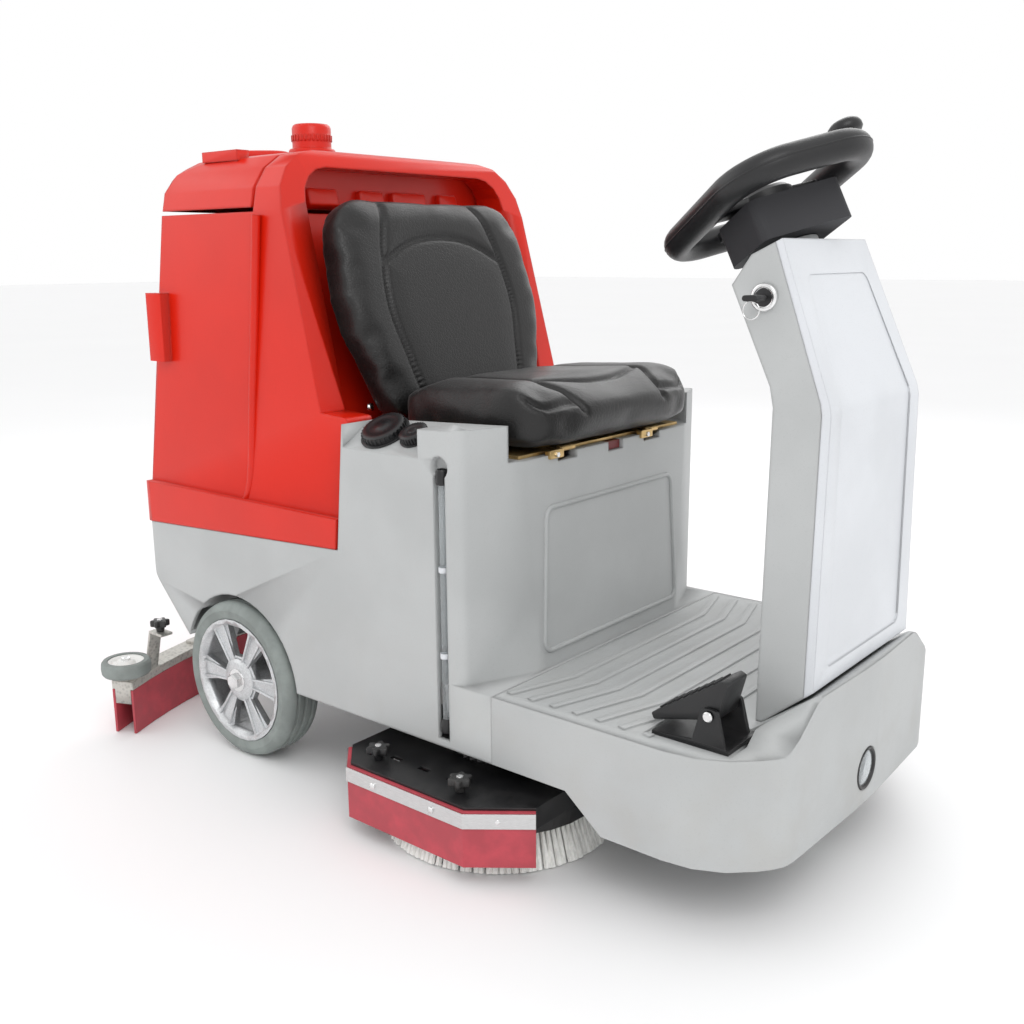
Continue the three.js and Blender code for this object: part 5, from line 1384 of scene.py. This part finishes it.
@dataclass
class Knobs:
    """Star knobs of the deck and of the squeegee, each with a bright bolt in its middle."""

    lobes: int = 6

    def build(self) -> None:
        """Makes every star knob."""
        nodes = [f"deck_knob_{i}" for i in range(1, 5)]
        nodes += [f"squeegee_knob_{side}" for side in ("right", "left")]
        for node in nodes:
            size = Turned(node, Vector((0, 0, 1)))
            place = size.place()
            r, h = size.radius, size.high - size.low
            steps = self.lobes * 10
            outline = []
            for i in range(steps):
                turn = 2 * math.pi * i / steps
                reach = r * (0.84 + 0.15 * math.cos(self.lobes * turn))
                outline.append((reach * math.cos(turn), reach * math.sin(turn)))
            star = slab("star", outline, h * 0.42, h * 0.92, place, BLACK, 0.0025, 3)
            stem = lathe("stem", [(0, 0), (0.0075, 0), (0.009, h * 0.42), (0, h * 0.42)], place, BLACK, 24)
            bolt = lathe("bolt", [(0, h * 0.92), (0.0055, h * 0.92), (0.0055, h * 0.97), (0.004, h),
                                  (0, h)], place,
                         CHROME, 12)
            settle(joined(f"{node}_look", [star, stem, bolt]), node_body(node), [node])


@dataclass
class Rollers:
    """Bumper rollers at the squeegee's ends: grey tyre, white disc, bright bolt."""

    def build(self) -> None:
        """Makes both rollers."""
        for side in ("right", "left"):
            node = f"squeegee_roller_{side}"
            size = Turned(node, Vector((0, 0, 1)))
            place = size.place()
            r, h = size.radius, size.high - size.low
            tyre = lathe("tyre", [(r - 0.013, 0.001), (r - 0.004, 0.001), (r - 0.001, 0.005), (r, h / 2),
                                  (r - 0.001, h - 0.005), (r - 0.004, h - 0.001), (r - 0.013, h - 0.001)],
                                  place, TYRE)
            disc = lathe("disc", [(0, 0.003), (r - 0.0135, 0.003), (r - 0.0135, h - 0.003),
                                  (r - 0.018, h - 0.004),
                                  (r - 0.021, h - 0.008), (0.019, h - 0.009), (0.015, h - 0.002),
                                  (0, h - 0.002)],
                         place, WHITE_PLASTIC)
            bolt = lathe("bolt", [(0, h - 0.002), (0.009, h - 0.002), (0.009, h + 0.003), (0.006, h + 0.005),
                                  (0, h + 0.005)], place, CHROME, 6, 20.0)
            settle(joined(f"{node}_look", [disc, tyre, bolt]), node_body(node), [node])


@dataclass
class Fasteners:
    """Screws on the aprons and the tank."""

    size: float = 0.011

    def build(self) -> None:
        """Makes every set of screws."""
        for side, sign in (("right", -1), ("left", 1)):
            spots = [(0.452, 0.434, 0.109, 0.0), (0.578, 0.434, 0.109, 0.0), (0.681, 0.399, 0.109, 0.6),
                     (0.366, 0.406, 0.109, -0.75)]
            places = [at(x, sign * (y + 0.0035), z) for x, y, z, _ in spots]
            aims = [Vector((math.sin(t), sign * math.cos(t), 0)) for *_, t in spots]
            screws = Repeat(f"apron_screws_{side}", Shape.SCREW, places, aims, CHROME, self.size, 0.003)
            settle(screws.build(), node_body(f"apron_strip_{side}"))
        arch = Repeat("tank_screws", Shape.SCREW, [at(0.232, -0.206, 0.669), at(0.232, 0.206, 0.669)],
                      [Vector((1, 0, 0.25))] * 2, CHROME, 0.015, 0.004)
        settle(arch.build(), "chassis")


@dataclass
class Tank:
    """What the dirty-water tank carries: ridges, handle, strap, window and bosses."""

    side_y: float = 0.329
    ridge: float = 0.008
    recess_x: float = 0.158
    recess_z: float = 0.668
    recess_slope: float = 0.248

    def build(self) -> None:
        """Makes the trims on the tank and its lid."""
        for side, sign in (("right", -1), ("left", 1)):
            run = [(0.099, 0.995), (0.083, 0.854), (0.062, 0.681), (0.043, 0.535), (0.008, 0.475),
                   (-0.039, 0.453)]
            points = bend_path([at(x, sign * (self.side_y - 0.003), z) for x, z in run])
            settle(Pipe(f"tank_ridge_{side}", points, RED, self.ridge, 12).build(), "chassis")
        loop = [at(-0.165, -0.215, 1.085), at(-0.165, -0.215, 1.108), at(-0.12, -0.12, 1.116),
                at(-0.10, -0.08, 1.112),
                at(-0.10, -0.08, 1.09)]
        settle(Pipe("lid_handle", bend_path(loop, 6), RED, 0.009, 12).build(), "lid")
        self.recess()


    def recess(self) -> None:
        """Makes the bosses, the strap and the window on the recess behind the seat back."""
        lean = math.atan(self.recess_slope)
        place = axes(at(self.recess_x, 0, self.recess_z), Vector((0, 1, 0)),
                     Vector((math.cos(lean), 0, math.sin(lean))))
        wide = [(-0.165, 0.07), (-0.045, 0.06), (0.055, 0.09), (0.165, 0.05)]
        bosses = []
        for middle, width in wide:
            half = width / 2
            outline = rounded([(middle - half, 0.352, 0.006), (middle + half, 0.352, 0.006),
                               (middle + half, 0.384, 0.006), (middle - half, 0.384, 0.006)], 4)
            bosses.append(slab("boss", outline, -0.004, 0.02, place, RED, 0.004, 3))
        settle(joined("recess_bosses", bosses), "chassis")
        strap = slab("recess_strap", [(-0.236, 0.2), (-0.214, 0.2), (-0.214, 0.37), (-0.236, 0.37)],
                     -0.001, 0.0022,
                     place, SOFT_BLACK, 0.0008)
        buckle = slab("buckle", rounded([(-0.242, 0.2, 0.003), (-0.208, 0.2, 0.003), (-0.208, 0.232, 0.003),
                                         (-0.242, 0.232, 0.003)], 4), 0.0, 0.008, place, BLACK, 0.002)
        pane = [(-0.252, 0.07, 0.006), (-0.205, 0.07, 0.006), (-0.205, 0.165, 0.006), (-0.252, 0.165, 0.006)]
        window = slab("recess_window", rounded(pane, 4), -0.002, 0.003, place, SHADOW, 0.001)
        settle(joined("recess_trims", [strap, buckle, window]), "chassis")


@dataclass
class SeatBase:
    """The raised line round the seat base's front panel, and the brackets and bolts under the seat."""

    rear_lean: float = 0.035
    half_top: float = 0.186
    half_foot: float = 0.2
    top: float = 0.535
    foot: float = 0.3
    bead: float = 0.0042

    def face(self, y: float, z: float) -> Vector:
        """A place on the leaning front face."""
        return at(0.6145 - self.rear_lean * (z - 0.272), y, z)

    def build(self) -> None:
        """Makes the panel line and the two brackets."""
        r = 0.018
        corners = rounded([(-self.half_foot, self.foot, r), (self.half_foot, self.foot, r),
                           (self.half_top, self.top, r), (-self.half_top, self.top, r)], 6)
        line = Pipe("panel_line", [self.face(y, z) for y, z in corners], GREY, self.bead, 10, True)
        settle(line.build(), "chassis")
        pieces = []
        for y in (-0.159, 0.104):
            place = axes(at(0.6035, y, 0.618), Vector((0, 1, 0)), Vector((1, 0, 0)))
            pieces.append(slab("bracket", rounded([(-0.018, -0.006, 0.002), (0.018, -0.006, 0.002),
                                                   (0.018, 0.008, 0.002), (-0.018, 0.008, 0.002)], 3),
                               -0.008, 0.003, place, BRASS, 0.0008))
            pieces.append(lathe("bracket_bolt",
                                [(0, 0.003), (0.0045, 0.003), (0.0045, 0.006), (0, 0.0064)], place,
                                CHROME, 6, 20.0))
        settle(joined("seat_brackets", pieces), "chassis")


@dataclass
class Ignition:
    """The bright bezel round the key and the key's ring."""

    x: float = 0.948
    y: float = -0.1505
    z: float = 0.868
    ring: float = 0.012
    ring_y: float = -0.186
    ring_drop: float = 0.016

    def build(self) -> None:
        """Makes the bezel and the split ring."""
        place = axes(at(self.x, self.y, self.z), Vector((1, 0, 0)), Vector((0, -1, 0)))
        bezel = lathe("lock_bezel", [(0.0125, -0.004), (0.0195, -0.004), (0.0195, 0.0015), (0.0175, 0.0034),
                                     (0.0145, 0.0036), (0.0125, 0.002)], place, CHROME, 48, 50.0)
        settle(bezel, "chassis")
        turns = [2 * math.pi * i / 32 for i in range(32)]
        ring = [at(self.x + self.ring * math.cos(t), self.ring_y,
                   self.z - self.ring_drop + self.ring * math.sin(t))
                for t in turns]
        settle(Pipe("key_ring", ring, CHROME, 0.0009, 8, True).build(), "key")


@dataclass
class Pedal:
    """Grip ribs across the accelerator pedal, and the bright ends of its pin."""

    hinge_x: float = 0.966
    y: float = -0.258
    hinge_z: float = 0.316
    foot_x: float = 0.87
    foot_z: float = 0.294
    top_x: float = 0.978
    top_z: float = 0.366
    ribs: int = 8

    def build(self) -> None:
        """Makes the ribs and the pin's ends."""
        foot, top = at(self.foot_x, self.y, self.foot_z), at(self.top_x, self.y, self.top_z)
        along = (top - foot).normalized()
        out = Vector((-along.z, 0, along.x))
        places = [foot.lerp(top, 0.12 + 0.76 * i / (self.ribs - 1)) + out * 0.0008 for i in range(self.ribs)]
        ribs = Repeat("pedal_ribs", Shape.RIB, places, [out] * self.ribs, SOFT_BLACK, 0.003, 0.0034,
                      stretch=15.0,
                      spins=[Vector((0, 1, 0))] * self.ribs)
        settle(ribs.build(), "pedal")
        ends = []
        for sign in (-1, 1):
            place = axes(at(self.hinge_x, self.y + sign * 0.039, self.hinge_z), Vector((1, 0, 0)),
                         Vector((0, sign, 0)))
            ends.append(lathe("pin_end",
                              [(0, 0), (0.0075, 0), (0.0075, 0.002), (0.006, 0.0032), (0, 0.0032)], place,
                              CHROME, 32))
        settle(joined("pedal_pin", ends), "pedal")


@dataclass
class SightGauge:
    """The clear level tube's end fittings and its clips."""

    x: float = 0.523
    y: float = -0.338
    low: float = 0.186
    high: float = 0.612

    def build(self) -> None:
        """Makes the fittings and the clips."""
        pieces = []
        for z, rise in ((self.low, 0.022), (self.high - 0.024, 0.024)):
            place = axes(at(self.x, self.y, z), Vector((1, 0, 0)), Vector((0, 0, 1)))
            pieces.append(lathe("fitting", [(0, 0), (0.009, 0), (0.0095, 0.002), (0.0095, rise - 0.004),
                                            (0.0075, rise), (0, rise)], place, BLACK, 24))
        for z in (0.31, 0.45):
            place = axes(at(self.x, self.y, z), Vector((1, 0, 0)), Vector((0, 0, 1)))
            pieces.append(lathe("clip", [(0.0063, 0), (0.0082, 0.0), (0.0082, 0.009), (0.0063, 0.009)],
                                place, PALE, 24))
        settle(joined("sight_fittings", pieces), "chassis")


@dataclass
class Lamp:
    """The headlight in the nose: rim, reflector, bulb and lens."""

    def build(self) -> None:
        """Makes the lamp."""
        size = Turned("headlight", Vector((1, 0, 0)))
        place = size.place()
        r, h = size.radius, size.high - size.low
        rim = lathe("rim", [(r - 0.005, 0), (r, 0), (r, h - 0.003), (r - 0.002, h), (r - 0.005, h - 0.001),
                            (r - 0.007, h - 0.006)], place, BLACK)
        bowl = lathe("bowl", [(0, 0.001), (r - 0.006, 0.001), (r - 0.0055, h - 0.008), (r - 0.007, h - 0.009),
                              (r * 0.5, 0.008), (0.006, 0.004), (0, 0.004)], place, CHROME)
        bulb = lathe("bulb", [(0, 0.004), (0.005, 0.004), (0.0055, 0.012), (0.003, 0.016), (0, 0.017)], place,
                     WHITE_PLASTIC, 24)
        lens = lathe("lens", [(0, h - 0.0055), (r - 0.0055, h - 0.0065), (r - 0.0055, h - 0.004),
                              (r * 0.5, h - 0.0015),
                              (0, h - 0.0008)], place, CLEAR)
        settle(joined("headlight_look", [lens, rim, bowl, bulb]), node_body("headlight"), ["headlight"])


@dataclass
class Studio:
    """Pale floor, soft light and the camera."""

    eye: Point = (1.309842, -1.547715, 0.923966)
    yaw: float = 39.380
    pitch: float = 12.928
    roll: float = -0.385
    lens: float = 39.125
    floor_half: float = 40.0
    floor_drop: float = 0.0006
    sky: float = 1.0

    def camera(self) -> None:
        """Stands the camera off the machine's right front corner."""
        yaw, pitch, roll = map(math.radians, (self.yaw, self.pitch, self.roll))
        ahead = Vector((-math.sin(yaw) * math.cos(pitch), math.cos(yaw) * math.cos(pitch), -math.sin(pitch)))
        right = Vector((math.cos(yaw), math.sin(yaw), 0))
        up = right.cross(ahead)
        tilted = right * math.cos(roll) + up * math.sin(roll)
        upward = up * math.cos(roll) - right * math.sin(roll)
        data = bpy.data.cameras.new("camera")
        data.lens = self.lens
        data.sensor_width = 36.0
        data.dof.use_dof = False
        made = bpy.data.objects.new("camera", data)
        facing = Matrix((tilted, upward, -ahead)).transposed().to_4x4()
        made.matrix_world = Matrix.Translation(self.eye) @ facing
        bpy.context.scene.collection.objects.link(made)
        bpy.context.scene.camera = made

    def light(self, name: str, place: Point, size: float, power: float) -> None:
        """Hangs one square soft light aimed at the machine."""
        data = bpy.data.lights.new(name, "AREA")
        data.size = size
        data.energy = power
        made = bpy.data.objects.new(name, data)
        made.location = place
        made.rotation_mode = "QUATERNION"
        made.rotation_quaternion = (Vector((0, 0, 0.5)) - Vector(place)).to_track_quat("-Z", "Y")
        bpy.context.scene.collection.objects.link(made)

    def build(self) -> None:
        """Makes the floor, the lights, the world and the camera."""
        shape = bmesh.new()
        bmesh.ops.create_grid(shape, x_segments=1, y_segments=1, size=self.floor_half)
        floor = from_bmesh("floor", shape, Floor("floor_paint", (0.93, 0.93, 0.935), 0.55))
        floor.location.z = -self.floor_drop
        self.light("key_light", (2.6, -2.4, 3.6), 2.4, 50.0)
        self.light("fill_light", (-3.2, -2.0, 2.4), 3.0, 18.0)
        self.light("rim_light", (-0.6, 3.2, 3.2), 2.4, 30.0)
        world = bpy.data.worlds.new("studio")
        world.use_nodes = True
        sky = world.node_tree.nodes["Background"]
        sky.inputs["Color"].default_value = (1.0, 1.0, 1.0, 1.0)
        sky.inputs["Strength"].default_value = self.sky
        bpy.context.scene.world = world
        bpy.context.scene.view_settings.view_transform = "Standard"
        self.camera()


def main() -> None:
    """Builds every sub-assembly."""
    logging.basicConfig(level=logging.INFO, format="%(name)s: %(message)s")
    Shells().build()
    SteeringHead().build()
    RearWheel("right", -1).build()
    RearWheel("left", 1).build()
    Seat().build()
    Caps().build()
    Brushes().build()
    Knobs().build()
    Rollers().build()
    Fasteners().build()
    Tank().build()
    SeatBase().build()
    Ignition().build()
    Pedal().build()
    SightGauge().build()
    Lamp().build()
    Studio().build()


if __name__ == "__main__":
    main()
